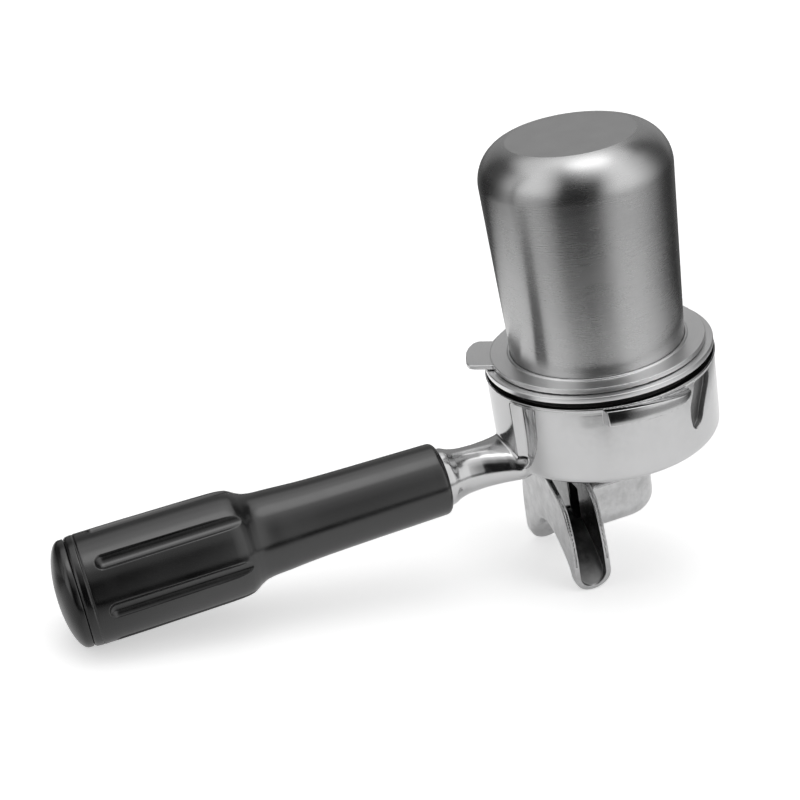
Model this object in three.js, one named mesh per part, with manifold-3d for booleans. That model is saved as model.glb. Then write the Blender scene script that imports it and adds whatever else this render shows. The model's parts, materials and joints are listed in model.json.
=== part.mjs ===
// Espresso portafilter with a twin open spout, a basket and a dosing cup standing
// on the basket.  Millimetres, +Z up.  The assembly stands the way it stands on a
// counter: on its two spout tips and on the rear end of its handle.
//
// Everything is drawn in the portafilter's own axes first: origin at the centre of
// the bowl's rim plane, +Z along the basket axis, the handle along -X.  One parent
// group then leans the whole assembly by REST_TILT and puts it on z = 0.

import * as THREE from 'three';
import * as BufferGeometryUtils from 'three/addons/utils/BufferGeometryUtils.js';
import Module from 'manifold-3d';

const wasm = await Module();
wasm.setup();

// ---------------------------------------------------------------- dimensions
const GAP = 0.3;                 // clearance between neighbouring pieces
const SEG = 48;                  // segments around the bowl, basket and cup

// bowl of the body
const RIM_R = 35.7;              // rim outer radius (71.4 mm across)
const WALL_R_TOP = 35.4;         // wall just under the rim band
const WALL_R_LOW = 35.15;        // wall at the lower corner
const BODY_H = 26.5;             // rim plane to underside
const CORNER_R = 3.1;            // lower outer corner
const BOWL_R = 30.7;             // inside radius of the bowl
const BOWL_FLOOR = -23.2;        // inside floor
const BEAD_R = 32.4;             // raised inner bead that the basket lip sits on
const BEAD_H = 1.25;
const CHANNEL_Z = -0.95;         // shallow channel between the rim's crest and the bead
const GROOVE_Z = -7.0;           // groove for the basket retaining spring
const GROOVE_R = 31.7;
const GROOVE_H = 1.9;
const OUTLET_BOSS_R = 10.6;      // round boss under the bowl
const OUTLET_BOSS_Z = -33.0;
const NIPPLE_R = 8.2;            // 3/8 inch male outlet nipple
const NIPPLE_Z = -40.6;
const OUTLET_BORE_R = 5.2;

// bayonet lugs, 90 degrees from the handle
const LUG_R = 38.5;
const LUG_FROM = 67.5;           // degrees from the handle, towards -Y
const LUG_TO = 113.5;
const LUG_TOP_A = -0.3;          // cam face height at the handle end
const LUG_TOP_B = -2.5;          // and at the leading end
const LUG_BOTTOM = -5.1;         // flat underside

// relief pockets in the wall beside the handle root and opposite
const POCKET_R = 32.9;

// neck and handle share one straight axis, square to the basket axis
const HANDLE_Z = -24.7;
const NECK = [                   // [x, half height, half width]
  [-30.5, 6.2, 12.0], [-34.5, 6.4, 11.4], [-37.5, 6.6, 9.9], [-41, 6.8, 8.5],
  [-45, 7.0, 7.5], [-49, 7.3, 7.3], [-52.5, 8.0, 8.0], [-55.3, 9.1, 9.1], [-58.6, 9.4, 9.4],
];
const TANG_R = 6.6;              // plain tang of the neck inside the grip
const TANG_END = -78;
const TAP_R = 3.35;              // hole tapped for the handle bolt
const TAP_END = -61;

const GRIP_FRONT = -56.8;
const GRIP_REAR = -172.0;
const GRIP = [                   // [x, radius]
  [-56.8, 10.3], [-57.3, 11.0], [-58.4, 11.45], [-61, 11.5], [-73.5, 11.7], [-89, 11.95],
  [-98.5, 12.2], [-104.5, 12.5], [-110.6, 12.9], [-114.5, 13.1], [-117.2, 13.5],
  [-119.4, 14.4], [-121.2, 15.5], [-122.8, 16.2], [-125.8, 16.6], [-134.7, 16.8],
  [-146.6, 16.9], [-158.3, 17.0], [-168, 17.0], [-171.2, 16.8], [-172.0, 16.3],
];
const FLUTES = 7;                // shallow grooves round the rear of the grip
const FLUTE_FIRST = 90;          // degrees from the top, towards -Y
const FLUTE_CUT_R = 3.0;         // round cutter
const FLUTE_DEPTH = 1.25;
const FLUTE_FROM = -166;
const FLUTE_TO = -117;

const CAP_SEAM = -172.3;
const CAP_APEX = -178.6;
const CAP_R = 16.5;

const BOLT_R = 3.0;              // M6 handle bolt with a cylindrical head
const BOLT_HEAD_R = 5.0;
const BOLT_HEAD_X = -158.0;      // rear face of the head
const BOLT_HEAD_L = 6.0;
const BOLT_TIP_X = -66.0;

// twin spout, offset towards the handle
const LEG_X0 = -25.0;
const LEG_X1 = -12.8;
const LEG_WALL = 1.8;
const TIP_Z = -69.1;
const CHAMBER_W = 11.7;          // half width and end radius of the inlet chamber
const CHAMBER_TOP = -37.7;
const CHAMBER_BOTTOM = -54.6;
const CHAMBER_ROUND = 6.0;
const SPOUT_COLLAR_R = 10.4;
const SPOUT_COLLAR_TOP = -34.9;
const SPOUT_BORE_R = 8.5;
const RIM_CURVE = [              // [|y|, z] upper edge of the trough's side walls
  [0, -32.8], [5.1, -33.2], [10.6, -35.6], [14.1, -37.6], [16.6, -40.2], [18.3, -44.5],
  [19.4, -49.0], [20.2, -55.0], [20.4, -60.8], [20.1, -66.1], [19.2, TIP_Z],
];
const UNDER_CURVE = [            // [|y|, z] underside, from the tip to the arch
  [17.8, -67.7], [13.6, -61.0], [9.6, -57.3], [5.0, -54.4], [0, -53.0],
];
const FLOOR_CURVE = [            // [|y|, z] liquid-carrying floor, from the middle to the lip
  [0, -50.6], [5.0, -51.8], [9.6, -54.5], [13.6, -58.0], [17.3, -63.1], [19.6, -67.7],
];

// basket
const LIP_R = 35.4;
const LIP_Z0 = 1.95;
const LIP_Z1 = 3.6;
const BASKET_R_TOP = 29.9;
const BASKET_R_LOW = 28.4;
const BASKET_DEPTH = -21.6;
const BASKET_T = 0.9;
const HOLE_R = 0.75;

// dosing cup, mouth down
const CUP_MOUTH_Z = 4.75;
const CUP_MOUTH_R = 26.9;
const CUP_SHOULDER_Z = 60.9;
const CUP_SHOULDER_R = 29.0;
const CUP_TOP_Z = 72.6;
const CUP_DISC_R = 19.6;
const CUP_T = 1.2;
const FLANGE_Z0 = LIP_Z1 + GAP;
const FLANGE_Z1 = 5.5;
const FLANGE_R = 33.2;
const SPIGOT_R = 28.5;
const SPIGOT_Z = -4.0;

// how it stands
const REST_TILT = 10.264;        // degrees the basket axis leans towards the handle

// ------------------------------------------------------------------ helpers
const rad = THREE.MathUtils.degToRad;

function solidFrom(geometry) {
  let g = geometry.clone();
  g.deleteAttribute('normal');
  g.deleteAttribute('uv');
  g = BufferGeometryUtils.mergeVertices(g, 1e-4);
  const pos = g.attributes.position.array;
  const raw = g.index.array;
  const tris = [];
  let volume = 0;
  const v = (i) => [pos[3 * i], pos[3 * i + 1], pos[3 * i + 2]];
  for (let i = 0; i < raw.length; i += 3) {
    const [a, b, c] = [raw[i], raw[i + 1], raw[i + 2]];
    if (a === b || b === c || a === c) continue;
    tris.push(a, b, c);
    const [p, q, r] = [v(a), v(b), v(c)];
    volume += p[0] * (q[1] * r[2] - q[2] * r[1])
      - p[1] * (q[0] * r[2] - q[2] * r[0]) + p[2] * (q[0] * r[1] - q[1] * r[0]);
  }
  if (volume < 0) {
    for (let i = 0; i < tris.length; i += 3) {
      const t = tris[i]; tris[i] = tris[i + 1]; tris[i + 1] = t;
    }
  }
  const mesh = new wasm.Mesh({
    numProp: 3, vertProperties: new Float32Array(pos), triVerts: new Uint32Array(tris),
  });
  return new wasm.Manifold(mesh);
}

function geometryFrom(solid) {
  const m = solid.getMesh();
  const g = new THREE.BufferGeometry();
  g.setAttribute('position', new THREE.BufferAttribute(new Float32Array(m.vertProperties), 3));
  g.setIndex(new THREE.BufferAttribute(new Uint32Array(m.triVerts), 1));
  g.computeVertexNormals();
  return g;
}

// a body of revolution about the basket axis; points are [radius, z]
function turnZ(points, segments = SEG) {
  const g = new THREE.LatheGeometry(points.map(([r, z]) => new THREE.Vector2(r, z)), segments);
  g.rotateX(Math.PI / 2);
  return g;
}

// a body of revolution about the handle axis; points are [x, radius]
function turnX(points, segments = 40) {
  const g = new THREE.LatheGeometry(points.map(([x, r]) => new THREE.Vector2(r, x)), segments);
  g.rotateZ(-Math.PI / 2);       // the lathe's +Y goes to +X
  g.translate(0, 0, HANDLE_Z);
  return g;
}

function box(x0, x1, y0, y1, z0, z1) {
  const g = new THREE.BoxGeometry(x1 - x0, y1 - y0, z1 - z0);
  g.translate((x0 + x1) / 2, (y0 + y1) / 2, (z0 + z1) / 2);
  return g;
}

// a flat outline in Y and Z pushed along X
function slabX(outline, x0, x1) {
  const shape = new THREE.Shape(outline.map(([y, z]) => new THREE.Vector2(y, z)));
  const g = new THREE.ExtrudeGeometry(shape, { depth: x1 - x0, bevelEnabled: false });
  // (x, y, z) of the extrusion -> (z, x, y) of the part
  g.applyMatrix4(new THREE.Matrix4().set(0, 0, 1, x0, 1, 0, 0, 0, 0, 1, 0, 0, 0, 0, 0, 1));
  return g;
}

// a flat outline in X and Y pushed up along Z
function slabZ(outline, z0, z1) {
  const shape = new THREE.Shape(outline.map(([x, y]) => new THREE.Vector2(x, y)));
  const g = new THREE.ExtrudeGeometry(shape, { depth: z1 - z0, bevelEnabled: false });
  g.translate(0, 0, z0);
  return g;
}

// a point on a circle about the basket axis; the angle is 0 at the handle and
// grows towards -Y
function polar(r, deg) {
  return [-r * Math.cos(rad(deg)), -r * Math.sin(rad(deg))];
}

function arc(r, from, to, steps) {
  const out = [];
  for (let i = 0; i <= steps; i++) out.push(polar(r, from + ((to - from) * i) / steps));
  return out;
}

function named(name, geometry, material) {
  const m = new THREE.Mesh(geometry, material);
  m.name = name;
  return m;
}

// ---------------------------------------------------------------- materials
const chrome = new THREE.MeshStandardMaterial({ color: 0xc9cacc, roughness: 0.22, metalness: 1 });
const castChrome = new THREE.MeshStandardMaterial({ color: 0xbfc0c2, roughness: 0.35, metalness: 1 });
const steel = new THREE.MeshStandardMaterial({ color: 0xb4b5b6, roughness: 0.3, metalness: 1 });
const brushed = new THREE.MeshStandardMaterial({ color: 0xa9aaab, roughness: 0.38, metalness: 1 });
const machined = new THREE.MeshStandardMaterial({ color: 0xa4a5a6, roughness: 0.42, metalness: 1 });
const springSteel = new THREE.MeshStandardMaterial({ color: 0x8e9093, roughness: 0.35, metalness: 1 });
const zinc = new THREE.MeshStandardMaterial({ color: 0x9fa2a6, roughness: 0.4, metalness: 1 });
const blackPlastic = new THREE.MeshStandardMaterial({ color: 0x17181a, roughness: 0.5, metalness: 0 });
const whiteSeal = new THREE.MeshStandardMaterial({ color: 0xe8e6e0, roughness: 0.6, metalness: 0 });

// ---------------------------------------------------------------- the body
function cornerArc(cr, cz, r, from, to, steps) {
  const out = [];
  for (let i = 0; i <= steps; i++) {
    const a = rad(from + ((to - from) * i) / steps);
    out.push([cr + r * Math.cos(a), cz + r * Math.sin(a)]);
  }
  return out;
}

const bowlProfile = [
  [OUTLET_BORE_R, NIPPLE_Z], [NIPPLE_R, NIPPLE_Z], [NIPPLE_R, OUTLET_BOSS_Z],
  [OUTLET_BOSS_R, OUTLET_BOSS_Z], [OUTLET_BOSS_R, -BODY_H - 1.6], [14, -BODY_H],
  ...cornerArc(WALL_R_LOW - CORNER_R, -BODY_H + CORNER_R, CORNER_R, -90, 0, 4),
  [WALL_R_TOP, -1.2], [RIM_R, -0.8], [RIM_R, -0.15], [RIM_R - 0.15, 0], [RIM_R - 0.4, 0],
  [RIM_R - 1.4, CHANNEL_Z], [BEAD_R, CHANNEL_Z], [BEAD_R - 0.4, BEAD_H], [BOWL_R, BEAD_H],
  [BOWL_R, GROOVE_Z + GROOVE_H / 2], [GROOVE_R, GROOVE_Z + GROOVE_H / 2],
  [GROOVE_R, GROOVE_Z - GROOVE_H / 2], [BOWL_R, GROOVE_Z - GROOVE_H / 2],
  [BOWL_R - 0.4, BOWL_FLOOR + 2.0], [BOWL_R - 2.4, BOWL_FLOOR],
  [OUTLET_BORE_R + 2, BOWL_FLOOR - 0.8], [OUTLET_BORE_R, BOWL_FLOOR - 2.4],
  [OUTLET_BORE_R, NIPPLE_Z],
];
let body = solidFrom(turnZ(bowlProfile));

// neck: a turned bar whose width changes along its length
{
  const [xs, hs, ws] = [NECK.map((n) => n[0]), NECK.map((n) => n[1]), NECK.map((n) => n[2])];
  const tangStart = NECK[NECK.length - 1][0];
  const profile = [[xs[0], 0], ...NECK.map((n) => [n[0], n[1]]),
    [tangStart - 0.01, TANG_R], [TANG_END, TANG_R], [TANG_END, 0]];
  const g = turnX(profile, 32);
  const p = g.attributes.position;
  for (let i = 0; i < p.count; i++) {
    const x = p.getX(i);
    let k = 1;
    for (let j = 0; j < xs.length - 1; j++) {
      if (x <= xs[j] + 1e-6 && x >= xs[j + 1] - 1e-6) {
        const t = (xs[j] - x) / (xs[j] - xs[j + 1]);
        k = (ws[j] + t * (ws[j + 1] - ws[j])) / (hs[j] + t * (hs[j + 1] - hs[j]));
        break;
      }
    }
    if (x < tangStart) k = 1;
    p.setY(i, p.getY(i) * k);
  }
  body = body.add(solidFrom(g));
  body = body.subtract(solidFrom(turnX([[TANG_END - 1, 0], [TANG_END - 1, TAP_R], [TAP_END, TAP_R], [TAP_END + 1.5, 0]], 20)));
}

// bayonet lugs: a block on the wall with a flat underside and a cam face that
// falls towards the leading end
function lug(turned) {
  const outline = [...arc(LUG_R, LUG_FROM + 1.2, LUG_TO - 1.2, 10), polar(LUG_R - 1, LUG_TO),
    ...arc(RIM_R - 2.2, LUG_TO, LUG_FROM, 10), polar(LUG_R - 1, LUG_FROM)];
  const g = slabZ(outline.map(([x, y]) => [x, y]), LUG_BOTTOM, 0);
  // cam: lower the top face along the arc
  const p = g.attributes.position;
  for (let i = 0; i < p.count; i++) {
    if (p.getZ(i) > -0.01) {
      const deg = THREE.MathUtils.radToDeg(Math.atan2(-p.getY(i), -p.getX(i)));
      const t = Math.min(1, Math.max(0, (deg - LUG_FROM) / (LUG_TO - LUG_FROM)));
      p.setZ(i, LUG_TOP_A + (LUG_TOP_B - LUG_TOP_A) * t * t);
    }
  }
  if (turned) g.rotateZ(Math.PI);
  return solidFrom(g);
}

// relief pocket: a hollow with one steep edge at edgeDeg, running out shallow at
// farDeg; the outline is [fraction of the way to farDeg, z]
const POCKET_NECK = [[0, -1.9], [0.85, -1.9], [1, -7], [1, -12.5], [0.85, -17.7], [0.5, -22], [0.12, -24.2], [0, -24.2]];
const POCKET_LUG = [[0, -1.9], [0.78, -1.9], [0.87, -5], [0.95, -7.5], [1, -11], [0.96, -14.6], [0.77, -16.3],
  [0.6, -16], [0.53, -14.8], [0.436, -12.3], [0.246, -8.5], [0.06, -5.9], [0, -4]];
function pocket(edgeDeg, farDeg, outline, side) {
  const [ax, ay] = polar(POCKET_R, edgeDeg);
  const [bx, by] = polar(WALL_R_TOP - 0.1, farDeg);
  const width = Math.hypot(bx - ax, by - ay);
  const shape = new THREE.Shape(outline.map(([f, z]) => new THREE.Vector2(width * f, z)));
  const g = new THREE.ExtrudeGeometry(shape, { depth: 8, bevelEnabled: false });
  const u = new THREE.Vector3(bx - ax, by - ay, 0).normalize();
  const w = new THREE.Vector3(0, 0, 1);
  const n = new THREE.Vector3().crossVectors(u, w);
  if (n.dot(new THREE.Vector3(ax, ay, 0)) < 0) n.negate();
  const m = new THREE.Matrix4().makeBasis(u, w, n);
  m.setPosition(ax, ay, 0);
  g.applyMatrix4(m);
  if (side < 0) g.scale(1, -1, 1);
  return solidFrom(g);
}
for (const side of [1, -1]) {
  body = body.subtract(pocket(15.5, 30.5, POCKET_NECK, side));
  body = body.subtract(pocket(133, 113.5, POCKET_LUG, side));
}
body = body.add(lug(false)).add(lug(true));
body = body.subtract(solidFrom(turnZ([[0, 4], [BOWL_R - 0.4, 4], [BOWL_R - 0.4, BOWL_FLOOR + 2.1], [0, BOWL_FLOOR + 2.1]])));

// -------------------------------------------------------------- twin spout
function mirrored(curve) {          // a half curve in |y| to a full one, -y to +y
  const left = [...curve].reverse().map(([y, z]) => [-y, z]);
  const right = curve.filter(([y]) => y > 1e-6);
  return [...left, ...right];
}
const smooth = (curve, n) => {
  const c = new THREE.CatmullRomCurve3(curve.map(([y, z]) => new THREE.Vector3(y, z, 0)), false, 'centripetal');
  return c.getPoints(n).map((q) => [q.x, q.y]);
};
const rimHalf = smooth(RIM_CURVE, 12);
const underHalf = smooth([...UNDER_CURVE].reverse(), 7);
const outerSide = [...mirrored(rimHalf), ...[...mirrored(underHalf)].reverse()];
// a U section seen along Y: straight flanks and a half-round bottom
function uShape(x0, x1, zTop, zLow, n) {
  const r = (x1 - x0) / 2;
  const cx = (x0 + x1) / 2;
  const out = [[x1, zTop]];
  for (let i = 0; i <= n; i++) {
    const a = -Math.PI * (i / n);
    out.push([cx + r * Math.cos(a), zLow + r + r * Math.sin(a)]);
  }
  out.push([x0, zTop]);
  return out;
}
function slabY(outline, y0, y1) {  // outline in X and Z pushed along Y
  const shape = new THREE.Shape(outline.map(([x, z]) => new THREE.Vector2(x, z)));
  const g = new THREE.ExtrudeGeometry(shape, { depth: y1 - y0, bevelEnabled: false });
  // (x, y, z) of the extrusion -> (x, -z, y) of the part, then into place
  g.applyMatrix4(new THREE.Matrix4().set(1, 0, 0, 0, 0, 0, 1, y0, 0, 1, 0, 0, 0, 0, 0, 1));
  return g;
}
let spout = solidFrom(slabX(outerSide, LEG_X0, LEG_X1));
spout = spout.intersect(solidFrom(slabY(uShape(LEG_X0, LEG_X1, -20, TIP_Z, 12), -40, 40)));

// inlet chamber: flat flanks running into a round end on the basket axis
{
  const w = CHAMBER_W;
  const inset = (d) => {
    const out = [[LEG_X1 - 1, -(w - d)]];
    for (let i = 0; i <= 14; i++) {
      const a = -Math.PI / 2 + Math.PI * (i / 14);
      out.push([(w - d) * Math.cos(a), (w - d) * Math.sin(a)]);
    }
    out.push([LEG_X1 - 1, w - d]);
    return out;
  };
  // side wall and a rounded bottom made of stacked, shrinking slabs joined by hulls of revolution
  const top = solidFrom(slabZ(inset(0), CHAMBER_BOTTOM + CHAMBER_ROUND, CHAMBER_TOP));
  const roundEnd = solidFrom(turnZ([[0, CHAMBER_BOTTOM],
    ...cornerArc(w - CHAMBER_ROUND, CHAMBER_BOTTOM + CHAMBER_ROUND, CHAMBER_ROUND, -90, 0, 4),
    [w, CHAMBER_BOTTOM + CHAMBER_ROUND + 0.5], [0, CHAMBER_BOTTOM + CHAMBER_ROUND + 0.5]], 28));
  const flank = [[-(w), CHAMBER_BOTTOM + CHAMBER_ROUND + 0.5],
    ...cornerArc(w - CHAMBER_ROUND, CHAMBER_BOTTOM + CHAMBER_ROUND, CHAMBER_ROUND, -90, 0, 4)
      .map(([a, b]) => [-a, b]).reverse(),
    ...cornerArc(w - CHAMBER_ROUND, CHAMBER_BOTTOM + CHAMBER_ROUND, CHAMBER_ROUND, -90, 0, 4),
    [w, CHAMBER_BOTTOM + CHAMBER_ROUND + 0.5]];
  const run = solidFrom(slabX(flank, LEG_X1 - 1, 0.01));
  const collar = solidFrom(turnZ([[0, CHAMBER_TOP - 1], [SPOUT_COLLAR_R, CHAMBER_TOP - 1],
    [SPOUT_COLLAR_R, SPOUT_COLLAR_TOP + 0.5], [SPOUT_COLLAR_R - 0.5, SPOUT_COLLAR_TOP], [0, SPOUT_COLLAR_TOP]], 32));
  spout = spout.add(top).add(roundEnd).add(run).add(collar);
}
// hollow of the trough: open upwards and outwards, half-round at the lips
{
  const floorHalf = smooth(FLOOR_CURVE, 8);
  const floor = mirrored(floorHalf);
  const inner = [...floor, [30, -70], [30, -25], [-30, -25], [-30, -70]];
  const x0 = LEG_X0 + LEG_WALL;
  const x1 = LEG_X1 - LEG_WALL;
  let hollow = solidFrom(slabX(inner, x0, x1));
  hollow = hollow.intersect(solidFrom(slabY(uShape(x0, x1, -20, TIP_Z + LEG_WALL, 10), -45, 45)));
  spout = spout.subtract(hollow);
  // threaded bore, chamber and the window from the chamber into the trough
  spout = spout.subtract(solidFrom(turnZ([[0, SPOUT_COLLAR_TOP + 1], [SPOUT_BORE_R, SPOUT_COLLAR_TOP + 1],
    [SPOUT_BORE_R, -50.5], [SPOUT_BORE_R - 2, -52.2], [0, -52.2]], 32)));
  spout = spout.subtract(solidFrom(box(x1 - 0.6, -4, -4.1, 4.1, -52.2, -41.0)));
}

const spoutWasher = turnZ([[NIPPLE_R + GAP, OUTLET_BOSS_Z - GAP], [OUTLET_BOSS_R - 0.4, OUTLET_BOSS_Z - GAP],
  [OUTLET_BOSS_R - 0.4, SPOUT_COLLAR_TOP + GAP], [NIPPLE_R + GAP, SPOUT_COLLAR_TOP + GAP],
  [NIPPLE_R + GAP, OUTLET_BOSS_Z - GAP]], 28);

// ------------------------------------------------------------------ handle
// grip: turned outside, stepped bore for the tang and the bolt, fluted at the rear
let grip = solidFrom(turnX([[GRIP_FRONT, 0], ...GRIP, [GRIP_REAR, 0]], 42));
{
  const tangBore = TANG_R + GAP;
  const bore = [[GRIP_FRONT + 1, 0], [GRIP_FRONT + 1, 9.4 + GAP], [-58.6 - GAP, 9.4 + GAP], [-58.6 - GAP, tangBore],
    [TANG_END - GAP, tangBore], [TANG_END - GAP, BOLT_R + GAP],
    [BOLT_HEAD_X + BOLT_HEAD_L + 3.2, BOLT_R + GAP], [BOLT_HEAD_X + BOLT_HEAD_L + 3.2, 6.8],
    [-166, 6.8], [-166, 13.2], [GRIP_REAR - 1, 13.2], [GRIP_REAR - 1, 0]];
  grip = grip.subtract(solidFrom(turnX(bore, 24)));
  for (let i = 0; i < FLUTES; i++) {
    const a = rad(FLUTE_FIRST + (360 / FLUTES) * i);
    const length = FLUTE_TO - FLUTE_FROM - 2 * FLUTE_CUT_R;
    const g = new THREE.CapsuleGeometry(FLUTE_CUT_R, length, 2, 10);
    g.rotateZ(Math.PI / 2);
    const centre = 16.9 + FLUTE_CUT_R - FLUTE_DEPTH;
    g.translate((FLUTE_FROM + FLUTE_TO) / 2, -Math.sin(a) * centre, HANDLE_Z + Math.cos(a) * centre);
    grip = grip.subtract(solidFrom(g));
  }
}

// domed end cap with a ring that snaps into the rear of the grip
const capDome = [];
for (let i = 0; i <= 5; i++) {
  const a = rad(90 - (82 * i) / 5);
  capDome.push([CAP_SEAM - 1.1 - (CAP_SEAM - 1.1 - CAP_APEX) * Math.cos(a), CAP_R * Math.sin(a)]);
}
const capProfile = [
  [-167.0, 12.9], [CAP_SEAM, 12.9], [CAP_SEAM, CAP_R - 0.3], [CAP_SEAM - 0.4, CAP_R],
  ...capDome, [CAP_APEX, 0], [CAP_APEX + 2.2, 0], [CAP_APEX + 3.0, 7.0], [CAP_SEAM - 1.2, 11.4],
  [-167.0, 11.4], [-167.0, 12.9],
].filter((q, i, all) => i === 0 || Math.hypot(q[0] - all[i - 1][0], q[1] - all[i - 1][1]) > 1e-3);
const handleCap = turnX(capProfile, 42);

// handle bolt with a hexagon socket, its washers
const headFront = BOLT_HEAD_X + BOLT_HEAD_L;
let bolt = solidFrom(turnX([[BOLT_HEAD_X, 0], [BOLT_HEAD_X, BOLT_HEAD_R - 0.4], [BOLT_HEAD_X + 0.4, BOLT_HEAD_R],
  [headFront, BOLT_HEAD_R], [headFront, BOLT_R], [BOLT_TIP_X - 0.8, BOLT_R], [BOLT_TIP_X, BOLT_R - 0.8], [BOLT_TIP_X, 0]], 24));
{
  const hex = new THREE.CylinderGeometry(2.9, 2.9, 3.4, 6);
  hex.rotateZ(Math.PI / 2);
  hex.translate(BOLT_HEAD_X + 1.4, 0, HANDLE_Z);
  bolt = bolt.subtract(solidFrom(hex));
}
function washer(x0, x1, rIn, rOut) {
  return turnX([[x0, rIn], [x1, rIn], [x1, rOut], [x0, rOut], [x0, rIn]], 32);
}
const flatWasher = washer(headFront + 1.6 + 0.3, headFront + 1.6 + 1.3, BOLT_R + 0.3, 6.2);
let springWasher = solidFrom(washer(headFront + GAP, headFront + 1.6, BOLT_R + 0.3, 5.1));
springWasher = springWasher.subtract(solidFrom(box(headFront - 1, headFront + 3, -0.5, 0.5, HANDLE_Z, HANDLE_Z + 8)));

// ------------------------------------------------------------------ basket
const basketProfile = [
  [0, BASKET_DEPTH], [BASKET_R_LOW - 3, BASKET_DEPTH],
  ...cornerArc(BASKET_R_LOW - 3, BASKET_DEPTH + 3, 3, -90, 0, 3).slice(1),
  [BASKET_R_TOP, 1.0], [BASKET_R_TOP + 0.5, LIP_Z0 - 0.35], [BEAD_R + 0.2, LIP_Z0 - 0.35], [BEAD_R + 0.6, LIP_Z0],
  [LIP_R - 0.5, LIP_Z0], [LIP_R, LIP_Z0 + 0.5], [LIP_R, LIP_Z1 - 0.5], [LIP_R - 0.5, LIP_Z1],
  [BASKET_R_TOP - BASKET_T + 0.9, LIP_Z1], [BASKET_R_TOP - BASKET_T, LIP_Z1 - 0.9],
  ...cornerArc(BASKET_R_LOW - 3, BASKET_DEPTH + 3, 3 - BASKET_T, -90, 0, 3).slice().reverse(),
  [0, BASKET_DEPTH + BASKET_T],
];
let basket = solidFrom(turnZ(basketProfile, SEG));
{
  const holes = [];
  for (const [ring, count] of [[0, 1], [7, 6], [14, 12], [21, 18]]) {
    for (let i = 0; i < count; i++) {
      const a = (2 * Math.PI * i) / count + ring;
      holes.push([ring * Math.cos(a), ring * Math.sin(a)]);
    }
  }
  let drill = null;
  for (const [x, y] of holes) {
    const g = new THREE.CylinderGeometry(HOLE_R, HOLE_R, 3, 6);
    g.rotateX(Math.PI / 2);
    g.translate(x, y, BASKET_DEPTH + BASKET_T / 2);
    const s = solidFrom(g);
    drill = drill ? drill.add(s) : s;
  }
  basket = basket.subtract(drill);
}

// retaining spring: an open ring of wire in the bowl's groove
class RingArc extends THREE.Curve {
  constructor(r, from, to, z) { super(); Object.assign(this, { r, from, to, z }); }
  getPoint(t, target = new THREE.Vector3()) {
    const a = rad(this.from + (this.to - this.from) * t);
    return target.set(this.r * Math.cos(a), this.r * Math.sin(a), this.z);
  }
}
const wire = new THREE.Shape();
{
  const r = 0.55;
  for (let i = 0; i < 6; i++) {
    const a = (2 * Math.PI * i) / 6;
    if (i === 0) wire.moveTo(r * Math.cos(a), r * Math.sin(a));
    else wire.lineTo(r * Math.cos(a), r * Math.sin(a));
  }
}
const spring = new THREE.ExtrudeGeometry(wire, {
  steps: 40, bevelEnabled: false, extrudePath: new RingArc(30.85, 8, 352, GROOVE_Z),
});

// -------------------------------------------------------------- dosing cup
const cupOuterR = (z) => CUP_MOUTH_R + ((CUP_SHOULDER_R - CUP_MOUTH_R) * (z - CUP_MOUTH_Z)) / (CUP_SHOULDER_Z - CUP_MOUTH_Z);
const shoulder = (r1, rd, z0, z1, n) => {
  const out = [];
  for (let i = 0; i <= n; i++) {
    const a = (Math.PI / 2) * (i / n);
    out.push([rd + (r1 - rd) * Math.cos(a), z0 + (z1 - z0) * Math.sin(a)]);
  }
  return out;
};
const cupProfile = [
  [CUP_MOUTH_R - CUP_T, CUP_MOUTH_Z], [CUP_MOUTH_R, CUP_MOUTH_Z], [cupOuterR(33), 33],
  ...shoulder(CUP_SHOULDER_R, CUP_DISC_R, CUP_SHOULDER_Z, CUP_TOP_Z, 5), [0, CUP_TOP_Z],
  [0, CUP_TOP_Z - CUP_T],
  ...shoulder(CUP_SHOULDER_R - CUP_T, CUP_DISC_R, CUP_SHOULDER_Z, CUP_TOP_Z - CUP_T, 5).reverse(),
  [cupOuterR(33) - CUP_T, 33], [CUP_MOUTH_R - CUP_T, CUP_MOUTH_Z],
];
const cup = turnZ(cupProfile, SEG);

const cupSeat = CUP_MOUTH_Z - GAP;
const flangeProfile = [
  [SPIGOT_R - 2.4, SPIGOT_Z], [SPIGOT_R - 0.6, SPIGOT_Z], [SPIGOT_R, SPIGOT_Z + 0.6], [SPIGOT_R, FLANGE_Z0],
  [FLANGE_R, FLANGE_Z0], [FLANGE_R, FLANGE_Z1 - 0.8], [FLANGE_R - 0.9, FLANGE_Z1],
  [CUP_MOUTH_R + GAP + 0.1, FLANGE_Z1], [CUP_MOUTH_R + GAP + 0.1, cupSeat], [SPIGOT_R - 2.4, cupSeat],
  [SPIGOT_R - 2.4, SPIGOT_Z],
];
let flange = solidFrom(turnZ(flangeProfile, SEG));
{
  // thumb tab
  const k = 1.02;
  const pts = [[-27.5, 4.0], [-32.6, 3.9], [-37.4, 7.4], [-38.6, 9.0], [-38.6, 11.0], [-37.4, 14.6], [-35.9, 18.2],
    [-34.0, 21.0], [-31.8, 22.9], [-30.0, 23.3], [-24.2, 18.9], [-20.5, 17.0]].map(([x, y]) => [x * k, y * k]);
  flange = flange.add(solidFrom(slabZ(pts, FLANGE_Z0, FLANGE_Z1 - 0.15))
    .subtract(solidFrom(turnZ([[0, 0], [30.5, 0], [30.5, 10], [0, 10]], 48))));
}

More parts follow.
